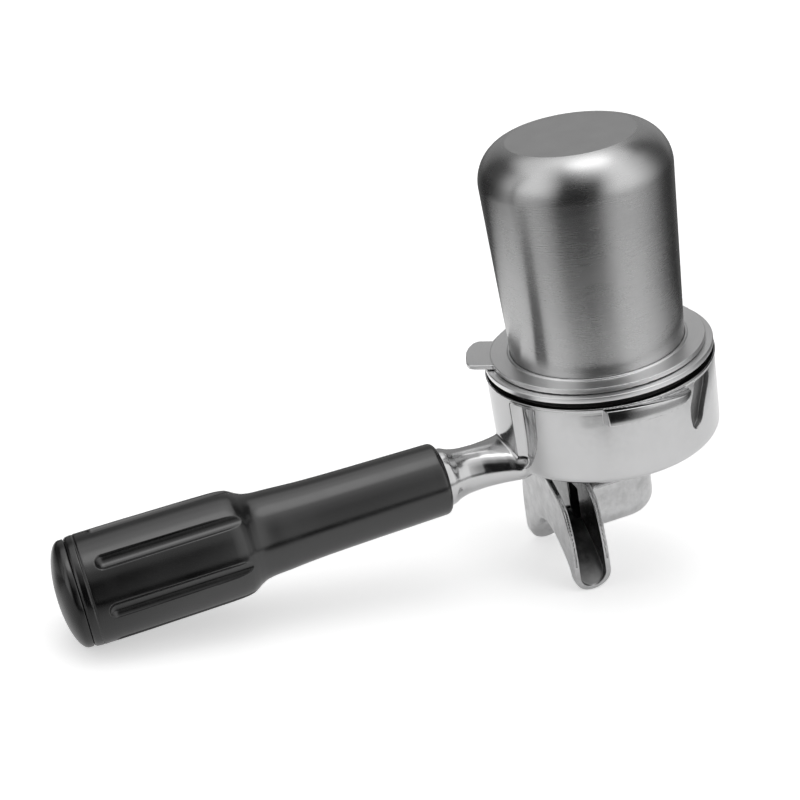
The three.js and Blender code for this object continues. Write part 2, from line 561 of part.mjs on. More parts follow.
// ---------------------------------------------------------------- assembly
const portafilter = new THREE.Group();
portafilter.add(
  named('portafilter_body', geometryFrom(body), chrome),
  named('basket_retaining_spring', geometryFrom(solidFrom(spring)), springSteel),
  named('spout_washer', geometryFrom(solidFrom(spoutWasher)), whiteSeal),
  named('double_spout', geometryFrom(spout), castChrome),
  named('handle_grip', geometryFrom(grip), blackPlastic),
  named('handle_end_cap', geometryFrom(solidFrom(handleCap)), blackPlastic),
  named('handle_bolt', geometryFrom(bolt), zinc),
  named('bolt_flat_washer', geometryFrom(solidFrom(flatWasher)), zinc),
  named('bolt_spring_washer', geometryFrom(springWasher), springSteel),
  named('filter_basket', geometryFrom(basket), steel),
  named('dosing_cup', geometryFrom(solidFrom(cup)), brushed),
  named('dosing_cup_flange', geometryFrom(flange), machined),
);
portafilter.rotation.y = -rad(REST_TILT);

const object = new THREE.Group();
object.add(portafilter);
object.updateMatrixWorld(true);
{
  const b = new THREE.Box3().setFromObject(object, true);
  object.position.set(-(b.min.x + b.max.x) / 2, -(b.min.y + b.max.y) / 2, -b.min.z);
  object.updateMatrixWorld(true);
}

export default object;
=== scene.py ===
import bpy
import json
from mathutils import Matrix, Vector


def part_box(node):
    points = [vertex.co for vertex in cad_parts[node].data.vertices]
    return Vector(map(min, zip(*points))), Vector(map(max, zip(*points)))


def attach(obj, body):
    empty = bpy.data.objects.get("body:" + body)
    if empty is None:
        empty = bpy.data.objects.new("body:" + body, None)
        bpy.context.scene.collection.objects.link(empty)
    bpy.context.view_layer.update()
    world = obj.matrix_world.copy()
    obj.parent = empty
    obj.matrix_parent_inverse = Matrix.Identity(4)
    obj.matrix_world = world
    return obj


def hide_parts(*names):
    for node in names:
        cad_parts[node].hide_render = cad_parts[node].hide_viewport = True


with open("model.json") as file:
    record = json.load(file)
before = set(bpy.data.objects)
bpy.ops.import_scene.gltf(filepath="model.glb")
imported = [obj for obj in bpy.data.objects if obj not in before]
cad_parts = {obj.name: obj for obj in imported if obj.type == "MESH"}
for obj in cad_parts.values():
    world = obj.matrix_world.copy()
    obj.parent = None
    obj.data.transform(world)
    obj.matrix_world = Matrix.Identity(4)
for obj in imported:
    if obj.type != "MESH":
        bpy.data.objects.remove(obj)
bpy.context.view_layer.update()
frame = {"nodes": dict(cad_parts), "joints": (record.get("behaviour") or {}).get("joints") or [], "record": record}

import json
import math
import bpy
import numpy as np
from mathutils import Matrix, Vector

# ----------------------------------------------------------------- the frame
# The portafilter's own axes: origin in the middle of the bowl's rim plane, +Z
# along the basket axis, the handle along -X.  Pieces are drawn there in
# millimetres and placed by MAT.
record = frame["record"]
mounts = {m["name"]: m for m in record["mounts"]}
UP = Vector(frame["joints"][0]["axis"]).normalized()
near = Vector(mounts["lug_underside_near"]["pos_m"])
far = Vector(mounts["lug_underside_far"]["pos_m"])
ORIGIN = (near + far) / 2 + UP * 0.0051
AX = Vector((0, 1, 0)).cross(UP)
MAT = Matrix(((AX.x, 0, UP.x, ORIGIN.x), (AX.y, 1, UP.y, ORIGIN.y), (AX.z, 0, UP.z, ORIGIN.z), (0, 0, 0, 1)))


def fine(h):
    return h * 1.0


# ------------------------------------------------------------------ mesh code
def make(name, verts_mm, faces, body, material, replaces=(), sharp=38, field=None):
    """field: the function the mesh was drawn from; its slope gives the shading normals."""
    me = bpy.data.meshes.new(name)
    v = np.asarray(verts_mm, np.float64) / 1000.0
    me.from_pydata(v.tolist(), [], [list(map(int, f)) for f in faces] if not isinstance(faces, np.ndarray) else faces.tolist())
    me.validate()
    me.update()
    me.polygons.foreach_set("use_smooth", np.ones(len(me.polygons), bool))
    if field is not None and len(me.vertices) == len(verts_mm):
        me.normals_split_custom_set_from_vertices(slope(field, np.asarray(verts_mm, np.float32), 0.06).tolist())
    elif sharp:
        me.set_sharp_from_angle(angle=math.radians(sharp))
    me.materials.append(material)
    ob = bpy.data.objects.new(name, me)
    bpy.context.scene.collection.objects.link(ob)
    ob.matrix_world = MAT
    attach(ob, body)
    if replaces:
        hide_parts(*replaces)
    return ob


def slope(f, p, e):
    """Unit gradient of a field at points, taken over +-e."""
    g = np.stack([f(p[:, 0] + (e if k == 0 else 0), p[:, 1] + (e if k == 1 else 0), p[:, 2] + (e if k == 2 else 0))
                  - f(p[:, 0] - (e if k == 0 else 0), p[:, 1] - (e if k == 1 else 0), p[:, 2] - (e if k == 2 else 0))
                  for k in range(3)], 1).astype(np.float64)
    return g / np.maximum(np.linalg.norm(g, axis=1), 1e-9)[:, None]


def arc_pts(c0, c1, r, a0, a1, n):
    return [(c0 + r * math.cos(math.radians(a0 + (a1 - a0) * i / n)),
             c1 + r * math.sin(math.radians(a0 + (a1 - a0) * i / n))) for i in range(n + 1)]


def fillet(points, closed=True, n=6):
    """Rounds the corners of a polyline; each point is (a, b) or (a, b, radius)."""
    out = []
    m = len(points)
    for i, p in enumerate(points):
        rad = p[2] if len(p) > 2 else 0
        if rad <= 0 or (not closed and i in (0, m - 1)):
            out.append((p[0], p[1]))
            continue
        a = np.array(points[i - 1][:2], float)
        b = np.array(p[:2], float)
        c = np.array(points[(i + 1) % m][:2], float)
        u, w = a - b, c - b
        lu, lw = np.linalg.norm(u), np.linalg.norm(w)
        u, w = u / lu, w / lw
        half = math.acos(max(-1, min(1, float(u @ w)))) / 2
        t = min(rad / math.tan(half), lu * 0.49, lw * 0.49)
        rr = t * math.tan(half)
        centre = b + (u + w) / np.linalg.norm(u + w) * (rr / math.sin(half))
        s, e = b + u * t - centre, b + w * t - centre
        a0 = math.atan2(s[1], s[0])
        a1 = math.atan2(e[1], e[0])
        d = (a1 - a0 + math.pi) % (2 * math.pi) - math.pi
        for k in range(n + 1):
            q = a0 + d * k / n
            out.append((centre[0] + rr * math.cos(q), centre[1] + rr * math.sin(q)))
    return out


def lathe(profile, seg, closed=True, about="z", z0=0.0):
    """Turns (radius, height) points about the basket axis, or (height=x) about the handle axis."""
    prof = [p for i, p in enumerate(profile) if i == 0 or math.hypot(p[0] - profile[i - 1][0], p[1] - profile[i - 1][1]) > 1e-4]
    if closed and math.hypot(prof[0][0] - prof[-1][0], prof[0][1] - prof[-1][1]) < 1e-4:
        prof = prof[:-1]
    verts, rings = [], []
    ang = np.arange(seg) * 2 * math.pi / seg
    for r, z in prof:
        if r < 1e-6:
            rings.append([len(verts)])
            verts.append((0, 0, z))
        else:
            rings.append(list(range(len(verts), len(verts) + seg)))
            verts += [(r * math.cos(a), r * math.sin(a), z) for a in ang]
    faces = []
    pairs = list(zip(rings, rings[1:])) + ([(rings[-1], rings[0])] if closed else [])
    for a, b in pairs:
        if len(a) == 1 and len(b) == 1:
            continue
        for i in range(seg):
            j = (i + 1) % seg
            if len(a) == 1:
                faces.append((a[0], b[j], b[i]))
            elif len(b) == 1:
                faces.append((a[i], a[j], b[0]))
            else:
                faces.append((a[i], a[j], b[j], b[i]))
    v = np.array(verts, float)
    area = 0.0
    for (r0, h0), (r1, h1) in zip(prof, prof[1:] + prof[:1]):
        area += r0 * h1 - r1 * h0
    if area < 0:
        faces = [tuple(reversed(f)) for f in faces]
    if about == "x":
        v = np.stack([v[:, 2], v[:, 1], -v[:, 0] + z0], 1)
    return v, faces


def merged(parts):
    verts, faces, base = [], [], 0
    for v, f in parts:
        verts.append(np.asarray(v, float))
        faces += [tuple(i + base for i in q) for q in (f.tolist() if isinstance(f, np.ndarray) else f)]
        base += len(v)
    return np.concatenate(verts), faces


def polygon_distance(px, py, poly):
    """Signed distance to a closed polygon, negative inside."""
    best = np.full(px.shape, 1e9, np.float32)
    inside = np.zeros(px.shape, bool)
    n = len(poly)
    for i in range(n):
        ax, ay = poly[i]
        bx, by = poly[(i + 1) % n]
        ex, ey = bx - ax, by - ay
        l2 = ex * ex + ey * ey
        if l2 < 1e-12:
            continue
        t = np.clip(((px - ax) * ex + (py - ay) * ey) / l2, 0, 1)
        dx, dy = px - ax - t * ex, py - ay - t * ey
        best = np.minimum(best, dx * dx + dy * dy)
        if ay != by:
            cross = ((ay > py) != (by > py)) & (px < ex * (py - ay) / ey + ax)
            inside ^= cross
    d = np.sqrt(best)
    return np.where(inside, -d, d).astype(np.float32)


class Outline:
    """A polygon's signed distance, tabulated so that many points can be read off quickly."""

    def __init__(self, poly, step=0.12, margin=4.0):
        p = np.array([q[:2] for q in poly], float)
        self.lo = p.min(0) - margin
        hi = p.max(0) + margin
        self.step = step
        self.n = np.ceil((hi - self.lo) / step).astype(int) + 1
        a = (self.lo[0] + np.arange(self.n[0]) * step)[:, None] + np.zeros((1, self.n[1]))
        b = (self.lo[1] + np.arange(self.n[1]) * step)[None, :] + np.zeros((self.n[0], 1))
        self.t = polygon_distance(a.astype(np.float32), b.astype(np.float32), [tuple(q) for q in p])

    def __call__(self, a, b):
        fa = np.clip((a - self.lo[0]) / self.step, 0, self.n[0] - 1.001)
        fb = np.clip((b - self.lo[1]) / self.step, 0, self.n[1] - 1.001)
        ia, ib = fa.astype(np.int32), fb.astype(np.int32)
        ta, tb = (fa - ia).astype(np.float32), (fb - ib).astype(np.float32)
        t = self.t
        return ((t[ia, ib] * (1 - ta) + t[ia + 1, ib] * ta) * (1 - tb)
                + (t[ia, ib + 1] * (1 - ta) + t[ia + 1, ib + 1] * ta) * tb)


def smin(a, b, k):
    h = np.clip(0.5 + 0.5 * (b - a) / k, 0, 1)
    return b + (a - b) * h - k * h * (1 - h)


def smax(a, b, k):
    return -smin(-a, -b, k)


def surface(f, lo, hi, h):
    """Closed quad mesh of f = 0 (f < 0 inside), by surface nets, pulled onto the true surface."""
    lo, hi = np.array(lo, float), np.array(hi, float)
    n = np.ceil((hi - lo) / h).astype(int) + 1
    xs, ys, zs = (lo[k] + np.arange(n[k]) * h for k in range(3))
    d = np.empty(tuple(n), np.float32)
    slab = max(1, int(1.2e6 / (n[1] * n[2])))
    for i in range(0, n[0], slab):
        X, Y, Z = np.meshgrid(xs[i:i + slab].astype(np.float32), ys.astype(np.float32), zs.astype(np.float32), indexing="ij")
        d[i:i + slab] = f(X, Y, Z)
    s = (d < 0)
    s[0], s[-1], s[:, 0], s[:, -1], s[:, :, 0], s[:, :, -1] = (False,) * 6
    d = np.where((d < 0) & ~s, 1e-3, d)
    c = np.zeros(tuple(n - 1), np.uint8)
    corners = [(a, b, g) for a in (0, 1) for b in (0, 1) for g in (0, 1)]
    for a, b, g in corners:
        c += s[a:n[0] - 1 + a, b:n[1] - 1 + b, g:n[2] - 1 + g]
    cells = np.argwhere((c > 0) & (c < 8))
    index = np.full(tuple(n - 1), -1, np.int32)
    index[cells[:, 0], cells[:, 1], cells[:, 2]] = np.arange(len(cells))
    acc, cnt = np.zeros((len(cells), 3)), np.zeros(len(cells))
    for axis in range(3):
        others = [k for k in range(3) if k != axis]
        for p in (0, 1):
            for q in (0, 1):
                o0 = np.zeros(3, int)
                o0[others[0]], o0[others[1]] = p, q
                o1 = o0.copy()
                o1[axis] = 1
                i0, i1 = cells + o0, cells + o1
                d0 = d[i0[:, 0], i0[:, 1], i0[:, 2]]
                d1 = d[i1[:, 0], i1[:, 1], i1[:, 2]]
                cut = (d0 < 0) != (d1 < 0)
                t = np.where(cut, d0 / np.where(d0 == d1, 1, d0 - d1), 0)
                pos = o0[None, :] + t[:, None] * (o1 - o0)[None, :]
                acc += np.where(cut[:, None], pos, 0)
                cnt += cut
    v = lo + (cells + acc / cnt[:, None]) * h
    faces = []
    for axis in range(3):
        o = [k for k in range(3) if k != axis]
        sl0 = [slice(None)] * 3
        sl1 = [slice(None)] * 3
        sl0[axis], sl1[axis] = slice(0, n[axis] - 1), slice(1, n[axis])
        a, b = s[tuple(sl0)], s[tuple(sl1)]
        e = np.argwhere(a != b)
        e = e[(e[:, o[0]] > 0) & (e[:, o[1]] > 0) & (e[:, o[0]] < n[o[0]] - 1) & (e[:, o[1]] < n[o[1]] - 1)]
        start = a[e[:, 0], e[:, 1], e[:, 2]]
        quad = []
        for p, q in ((-1, -1), (0, -1), (0, 0), (-1, 0)):
            i = e.copy()
            i[:, o[0]] += p
            i[:, o[1]] += q
            quad.append(index[i[:, 0], i[:, 1], i[:, 2]])
        quad = np.stack(quad, 1)
        flip = start if axis != 1 else ~start
        quad[~flip] = quad[~flip][:, ::-1]
        faces.append(quad)
    faces = np.concatenate(faces)
    start_v, e = v.copy(), 0.04
    for _ in range(3):
        p = v.astype(np.float32)
        g = np.stack([(f(p[:, 0] + (e if k == 0 else 0), p[:, 1] + (e if k == 1 else 0), p[:, 2] + (e if k == 2 else 0))
                       - f(p[:, 0] - (e if k == 0 else 0), p[:, 1] - (e if k == 1 else 0), p[:, 2] - (e if k == 2 else 0)))
                      / (2 * e) for k in range(3)], 1)
        val = f(p[:, 0], p[:, 1], p[:, 2])
        step = (val / np.maximum((g * g).sum(1), 0.2))[:, None] * g
        v = start_v + np.clip(v - step - start_v, -0.55 * h, 0.55 * h)
    return v, faces


def pchip(xs, ys):
    """Monotone cubic through points, xs rising."""
    xs, ys = np.array(xs, float), np.array(ys, float)
    hh = np.diff(xs)
    dl = np.diff(ys) / hh
    m = np.zeros(len(xs))
    for i in range(1, len(xs) - 1):
        if dl[i - 1] * dl[i] > 0:
            w1, w2 = 2 * hh[i] + hh[i - 1], hh[i] + 2 * hh[i - 1]
            m[i] = (w1 + w2) / (w1 / dl[i - 1] + w2 / dl[i])
    m[0], m[-1] = dl[0], dl[-1]

    grid = np.linspace(xs[0], xs[-1], 1200)
    k = np.clip(np.searchsorted(xs, grid, side="right") - 1, 0, len(hh) - 1)
    t = (grid - xs[k]) / hh[k]
    val = ((1 + 2 * t) * (1 - t) ** 2 * ys[k] + t * (1 - t) ** 2 * hh[k] * m[k]
           + t * t * (3 - 2 * t) * ys[k + 1] + t * t * (t - 1) * hh[k] * m[k + 1])
    return lambda x: np.interp(x, grid, val).astype(np.float32)


def spline(points, n):
    """Smooth curve through 2-D points."""
    p = np.array(points, float)
    t = np.concatenate([[0], np.cumsum(np.linalg.norm(np.diff(p, axis=0), axis=1) ** 0.5)])
    a = np.linspace(0, t[-1], n)
    out = []
    for c in range(2):
        m = np.gradient(p[:, c], t)
        k = np.clip(np.searchsorted(t, a, side="right") - 1, 0, len(t) - 2)
        hh = t[k + 1] - t[k]
        s = (a - t[k]) / hh
        out.append((1 + 2 * s) * (1 - s) ** 2 * p[k, c] + s * (1 - s) ** 2 * hh * m[k]
                   + s * s * (3 - 2 * s) * p[k + 1, c] + s * s * (s - 1) * hh * m[k + 1])
    return [(float(x), float(y)) for x, y in zip(*out)]


# ------------------------------------------------------------------ materials
class Nodes:
    def __init__(self, tree):
        self.tree = tree

    def add(self, kind, inputs=None, **props):
        n = self.tree.nodes.new(kind)
        for k, v in props.items():
            setattr(n, k, v)
        for k, v in (inputs or {}).items():
            self.set(n, k, v)
        return n

    def set(self, node, key, value):
        socket = node.inputs[key]
        if isinstance(value, bpy.types.NodeSocket):
            self.tree.links.new(value, socket)
        elif isinstance(value, bpy.types.Node):
            self.tree.links.new(value.outputs[0], socket)
        else:
            socket.default_value = value

    def math(self, op, a, b=0.0, c=None, clamp=False):
        n = self.add("ShaderNodeMath", {0: a, 1: b}, operation=op, use_clamp=clamp)
        if c is not None:
            self.set(n, 2, c)
        return n.outputs[0]

    def vmath(self, op, a, b=None):
        n = self.add("ShaderNodeVectorMath", {0: a}, operation=op)
        if b is not None:
            self.set(n, 1, b)
        return n.outputs["Value"] if op in ("LENGTH", "DOT_PRODUCT") else n.outputs[0]

    def ramp(self, fac, stops, interp="LINEAR"):
        n = self.add("ShaderNodeValToRGB", {0: fac})
        n.color_ramp.interpolation = interp
        els = n.color_ramp.elements
        while len(els) > 1:
            els.remove(els[-1])
        for i, (p, c) in enumerate(stops):
            e = els[0] if i == 0 else els.new(p)
            e.position = p
            e.color = (c, c, c, 1) if isinstance(c, (int, float)) else (*c, 1)
        return n.outputs[0]

    def remap(self, v, a, b, c, d, smooth=False):
        n = self.add("ShaderNodeMapRange", {0: v, 1: a, 2: b, 3: c, 4: d})
        if smooth:
            n.interpolation_type = "SMOOTHSTEP"
        return n.outputs[0]

    def noise(self, vec, scale, detail=3.0, rough=0.55):
        return self.add("ShaderNodeTexNoise", {"Vector": vec, "Scale": scale, "Detail": detail, "Roughness": rough}).outputs[0]

    def mix(self, fac, a, b):
        n = self.add("ShaderNodeMix", data_type="RGBA")
        self.set(n, 0, fac)
        self.set(n, 6, a)
        self.set(n, 7, b)
        return n.outputs[2]

    def mixf(self, fac, a, b):
        n = self.add("ShaderNodeMix", data_type="FLOAT")
        self.set(n, 0, fac)
        self.set(n, 2, a)
        self.set(n, 3, b)
        return n.outputs[0]


def new_material(name):
    m = bpy.data.materials.new(name)
    m.use_nodes = True
    m.node_tree.nodes.clear()
    n = Nodes(m.node_tree)
    out = n.add("ShaderNodeOutputMaterial")
    bsdf = n.add("ShaderNodeBsdfPrincipled")
    m.node_tree.links.new(bsdf.outputs[0], out.inputs[0])
    return m, n, bsdf


def part_space(n):
    """Object coordinates in millimetres, and cylinder coordinates about the basket axis."""
    tc = n.add("ShaderNodeTexCoord").outputs["Object"]
    p = n.vmath("SCALE", tc)
    p.node.inputs["Scale"].default_value = 1000.0
    sep = n.add("ShaderNodeSeparateXYZ", {0: p})
    x, y, z = sep.outputs
    r = n.math("SQRT", n.math("ADD", n.math("MULTIPLY", x, x), n.math("MULTIPLY", y, y)))
    a = n.math("ARCTAN2", y, x)
    return p, x, y, z, r, a


def round_tangent(n, x, y):
    """Unit vector round the basket axis, in world space, for brushing that runs round the piece."""
    v = n.add("ShaderNodeCombineXYZ", {0: n.math("MULTIPLY", y, -1.0), 1: x, 2: 0.0}).outputs[0]
    v = n.vmath("NORMALIZE", v)
    t = n.add("ShaderNodeVectorTransform", {0: v}, vector_type="VECTOR", convert_from="OBJECT", convert_to="WORLD")
    return t.outputs[0]


def bump(n, height, distance, strength=1.0, normal=None):
    b = n.add("ShaderNodeBump", {"Height": height, "Distance": distance, "Strength": strength})
    if normal is not None:
        n.set(b, "Normal", normal)
    return b.outputs[0]


def round_brush(n, a, z, r, along, across):
    """Noise drawn out round the axis: long streaks, fine across."""
    s, c = n.math("SINE", a), n.math("COSINE", a)
    return n.add("ShaderNodeCombineXYZ", {
        0: n.math("MULTIPLY", c, along), 1: n.math("MULTIPLY", s, along),
        2: n.math("ADD", n.math("MULTIPLY", z, across), n.math("MULTIPLY", r, across * 0.83))}).outputs[0]


def chrome_cast(name, base, rough, satin=0.0, cast_patch_and_shade=False, trough=False):
    m, n, b = new_material(name)
    p, x, y, z, r, a = part_space(n)
    broad = n.noise(p, 0.09, 3)
    mid = n.noise(p, 0.55, 4, 0.6)
    fine_n = n.noise(p, 6.0, 4, 0.65)
    col = n.mix(n.remap(broad, 0.3, 0.7, 0.0, 1.0), (base * 0.95, base * 0.95, base * 0.955, 1), (base, base, base * 1.005, 1))
    ro = n.math("ADD", n.remap(mid, 0.3, 0.7, rough * 0.85, rough * 1.2), n.remap(fine_n, 0.3, 0.7, -0.02, 0.03))
    height = n.math("ADD", n.math("MULTIPLY", mid, 0.007 + satin), n.math("MULTIPLY", fine_n, 0.0003 + satin * 0.03))
    # the as-cast patch beside the lugs, plus painted shade in the lip channel and in the hollows beyond the lugs
    if cast_patch_and_shade:
        # the as-cast skin left beside each lug's end
        deg = n.math("MULTIPLY", n.math("ARCTAN2", y, x), 180 / math.pi)
        deg = n.math("MODULO", n.math("ADD", n.math("ADD", deg, 180.0), 360.0), 180.0)
        side = n.math("MULTIPLY", n.remap(deg, 54.0, 58.5, 0, 1, True), n.remap(deg, 66.5, 68.0, 1, 0, True))
        tall = n.math("MULTIPLY", n.remap(z, -7.5, -5.5, 0, 1, True), n.remap(z, -2.6, -2.1, 1, 0, True))
        outer = n.remap(r, 33.8, 34.2, 0, 1)
        wob = n.remap(n.noise(p, 0.5, 3), 0.2, 0.6, 0.2, 1, True)
        mask = n.math("MULTIPLY", n.math("MULTIPLY", side, tall), n.math("MULTIPLY", outer, wob))
        grit = n.noise(p, 5.0, 3, 0.6)
        height = n.math("ADD", height, n.math("MULTIPLY", mask, n.math("MULTIPLY", grit, 0.02)))
        ro = n.math("ADD", ro, n.math("MULTIPLY", mask, 0.08))
        col = n.mix(n.math("MULTIPLY", mask, 0.3), col, (base * 0.8, base * 0.8, base * 0.8, 1))
        # painted shade: near-black colour in the channel under the basket lip, where the lip shades it
        chan = n.math("MULTIPLY", n.remap(r, 34.9, 35.1, 1, 0), n.remap(z, -1.3, -1.05, 0, 1))
        col = n.mix(n.math("MULTIPLY", chan, n.remap(grit, 0.3, 0.7, 0.85, 1.0)), col, (0.035, 0.034, 0.033, 1))
        ro = n.math("ADD", ro, n.math("MULTIPLY", chan, 0.35))
        # painted shade in the hollows beyond the lugs: a darker, mottled grey colour, with a rougher and grittier
        # surface
        fold = n.math("MULTIPLY", n.math("ARCTAN2", n.math("ABSOLUTE", y), n.math("MULTIPLY", x, -1.0)), 180 / math.pi)
        wall = n.math("SUBTRACT", 35.4, n.math("MULTIPLY", n.math("SUBTRACT", -1.2, z), 0.0113))
        sunk = n.remap(n.math("SUBTRACT", wall, r), 0.0, 0.06, 0, 1, True)
        hollow = n.math("MULTIPLY", sunk, n.math("MULTIPLY", n.remap(fold, 112.6, 113.2, 0, 1, True), n.remap(fold, 134.0, 135.0, 1, 0)))
        hollow = n.math("MULTIPLY", hollow, n.math("MULTIPLY", n.remap(z, -18.0, -17.2, 0, 1), n.remap(z, -1.75, -1.5, 1, 0)))
        hollow = n.math("MULTIPLY", hollow, n.remap(r, 31.9, 32.2, 0, 1))
        shade_mottle = n.noise(p, 0.9, 5, 0.7)
        col = n.mix(n.math("MULTIPLY", hollow, n.remap(shade_mottle, 0.3, 0.7, 0.75, 1.0)), col, (0.27, 0.27, 0.27, 1))
        ro = n.math("ADD", ro, n.math("MULTIPLY", hollow, 0.3))
        height = n.math("ADD", height, n.math("MULTIPLY", hollow, n.math("MULTIPLY", grit, 0.03)))
    if trough:
        cloud = n.noise(p, 0.22, 5, 0.62)
        shade = n.remap(cloud, 0.32, 0.68, 0.80, 1.12)
        col = n.mix(1.0, col, n.add("ShaderNodeVectorMath", {0: col, "Scale": shade}, operation="SCALE").outputs[0])
        # painted shade inside the channels: near black, painted lighter towards the lips and mottled by noise
        inx = n.math("MULTIPLY", n.remap(x, -23.35, -23.0, 0, 1), n.remap(x, -14.8, -14.45, 1, 0))
        ay = n.math("ABSOLUTE", y)
        rim_y = n.ramp(n.remap(z, -69.0, -33.0, 0.0, 1.0), [(0.0, 0.77), (0.1, 0.8), (0.24, 0.816), (0.39, 0.808), (0.55, 0.776), (0.68, 0.732), (0.8, 0.664), (0.87, 0.564), (0.93, 0.424), (1.0, 0.2)])
        inside = n.math("MULTIPLY", inx, n.remap(n.math("SUBTRACT", n.math("MULTIPLY", rim_y, 25.0), ay), 0.12, 0.5, 0, 1))
        above = n.remap(n.math("SUBTRACT", z, n.math("SUBTRACT", -49.6, n.math("MULTIPLY", n.math("MULTIPLY", ay, ay), 0.046))), -2.2, -1.6, 0, 1)
        inside = n.math("MULTIPLY", inside, above)
        shade_lift = n.math("MAXIMUM", n.remap(z, -69.5, -58.0, 0.95, 0.0, True), n.math("MULTIPLY", n.remap(z, -69.5, -46.0, 0.5, 0.0), n.remap(x, -18.5, -14.8, 0.1, 1.0)))
        shade_mottle = n.remap(n.noise(p, 0.35, 4, 0.55), 0.35, 0.7, -0.05, 0.1)
        shade_lift = n.math("ADD", shade_lift, shade_mottle, clamp=True)
        dark = n.mix(shade_lift, (0.03, 0.03, 0.03, 1), (0.3, 0.3, 0.3, 1))
        col = n.mix(inside, col, dark)
        ro = n.math("ADD", ro, n.math("MULTIPLY", inside, 0.2))
        height = n.math("ADD", height, n.math("MULTIPLY", inside, n.math("MULTIPLY", n.noise(p, 1.5, 5, 0.7), 0.012)))
    n.set(b, "Base Color", col)
    n.set(b, "Metallic", 1.0)
    n.set(b, "Roughness", ro)
    n.set(b, "Normal", bump(n, height, 0.001, 1.0))
    return m


def turned_steel(name, base, rough, aniso, streak=1.0, flat_end=None, shade_under_lip=False):
    """Steel brushed or turned round the basket axis. flat_end = (radius, z): a finely blasted disc."""
    m, n, b = new_material(name)
    p, x, y, z, r, a = part_space(n)
    long_s = n.noise(round_brush(n, a, z, r, 3.0, 5.0), 1.0, 5, 0.7)
    mid_s = n.noise(round_brush(n, a, z, r, 6.0, 1.3), 1.0, 4, 0.6)
    broad = n.noise(p, 0.05, 2)
    line = n.math("ADD", n.math("MULTIPLY", long_s, 0.6), n.math("MULTIPLY", mid_s, 0.4))
    col = n.mix(n.remap(line, 0.3, 0.7, 0, 1), (base * 0.94, base * 0.94, base * 0.945, 1), (base * 1.03, base * 1.03, base * 1.03, 1))
    ro = n.math("ADD", n.remap(line, 0.25, 0.75, rough * 0.9, rough * 1.1), n.remap(broad, 0.3, 0.7, -0.02, 0.02))
    an = aniso
    height = n.math("MULTIPLY", line, 0.0006 * streak)
    if flat_end:
        disc = n.math("MULTIPLY", n.remap(r, flat_end[0] - 0.25, flat_end[0] + 0.1, 1, 0), n.remap(z, flat_end[1] - 0.6, flat_end[1] - 0.3, 0, 1))
        grain = n.noise(p, 4.0, 4, 0.7)
        cloud = n.noise(p, 0.16, 3)
        ro = n.mixf(disc, ro, n.remap(grain, 0.3, 0.7, 0.22, 0.27))
        an = n.math("MULTIPLY", n.math("SUBTRACT", 1.0, disc), aniso)
        height = n.mixf(disc, height, n.math("MULTIPLY", grain, 0.0005))
        shade = n.remap(cloud, 0.3, 0.7, 0.96, 1.03)
        dark = n.add("ShaderNodeCombineXYZ", {0: n.math("MULTIPLY", shade, flat_end[2]), 1: n.math("MULTIPLY", shade, flat_end[2]), 2: n.math("MULTIPLY", shade, flat_end[2])}).outputs[0]
        col = n.mix(disc, col, dark)
    if shade_under_lip:
        # painted shade: near-black colour on the underside of the lip
        under = n.math("MULTIPLY", n.remap(z, 1.96, 2.04, 1, 0), n.remap(r, 30.2, 30.5, 0, 1))
        col = n.mix(n.math("MULTIPLY", under, n.remap(broad, 0.3, 0.7, 0.88, 1.0)), col, (0.04, 0.039, 0.038, 1))
        ro = n.math("ADD", ro, n.math("MULTIPLY", under, 0.3))
    n.set(b, "Base Color", col)
    n.set(b, "Metallic", 1.0)
    n.set(b, "Roughness", ro)
    n.set(b, "Anisotropic", an)
    n.set(b, "Anisotropic Rotation", 0.25)
    n.set(b, "Tangent", round_tangent(n, x, y))
    n.set(b, "Normal", bump(n, height, 0.001, 1.0))
    return m


def moulded_black(name):
    m, n, b = new_material(name)
    p, x, y, z, r, a = part_space(n)
    grain = n.noise(p, 3.2, 5, 0.7)
    turn = n.noise(n.add("ShaderNodeCombineXYZ", {0: n.math("MULTIPLY", x, 3.2), 1: n.math("MULTIPLY", y, 0.2), 2: n.math("MULTIPLY", z, 0.2)}).outputs[0], 1.0, 4, 0.6)
    wear = n.noise(p, 0.12, 4)
    speck = n.remap(n.noise(p, 1.1, 2, 0.5), 0.735, 0.76, 0, 1)
    col = n.mix(n.remap(wear, 0.35, 0.7, 0, 1), (0.0022, 0.0022, 0.0023, 1), (0.0036, 0.0036, 0.0037, 1))
    col = n.mix(n.math("MULTIPLY", speck, 0.3), col, (0.05, 0.05, 0.05, 1))
    ro = n.math("ADD", n.remap(grain, 0.3, 0.7, 0.15, 0.22), n.remap(wear, 0.3, 0.7, -0.03, 0.05))
    height = n.math("ADD", n.math("MULTIPLY", grain, 0.0065), n.math("MULTIPLY", turn, 0.006))
    n.set(b, "Base Color", col)
    n.set(b, "Roughness", ro)
    n.set(b, "IOR", 1.5)
    n.set(b, "Specular IOR Level", 0.85)
    n.set(b, "Normal", bump(n, height, 0.001, 1.0))
    return m


def plain_metal(name, base, rough):
    m, n, b = new_material(name)
    p, x, y, z, r, a = part_space(n)
    g = n.noise(p, 1.5, 4, 0.6)
    n.set(b, "Base Color", n.mix(n.remap(g, 0.3, 0.7, 0, 1), (base * 0.88, base * 0.89, base * 0.9, 1), (base, base, base, 1)))
    n.set(b, "Metallic", 1.0)
    n.set(b, "Roughness", n.remap(g, 0.3, 0.7, rough * 0.85, rough * 1.2))
    n.set(b, "Normal", bump(n, g, 0.00001, 1.0))
    return m


def seal_white(name):
    m, n, b = new_material(name)
    p, x, y, z, r, a = part_space(n)
    g = n.noise(p, 1.2, 4, 0.6)
    n.set(b, "Base Color", n.mix(g, (0.78, 0.77, 0.74, 1), (0.86, 0.85, 0.83, 1)))
    n.set(b, "Roughness", n.remap(g, 0.3, 0.7, 0.45, 0.6))
    n.set(b, "Normal", bump(n, g, 0.00002, 1.0))
    return m
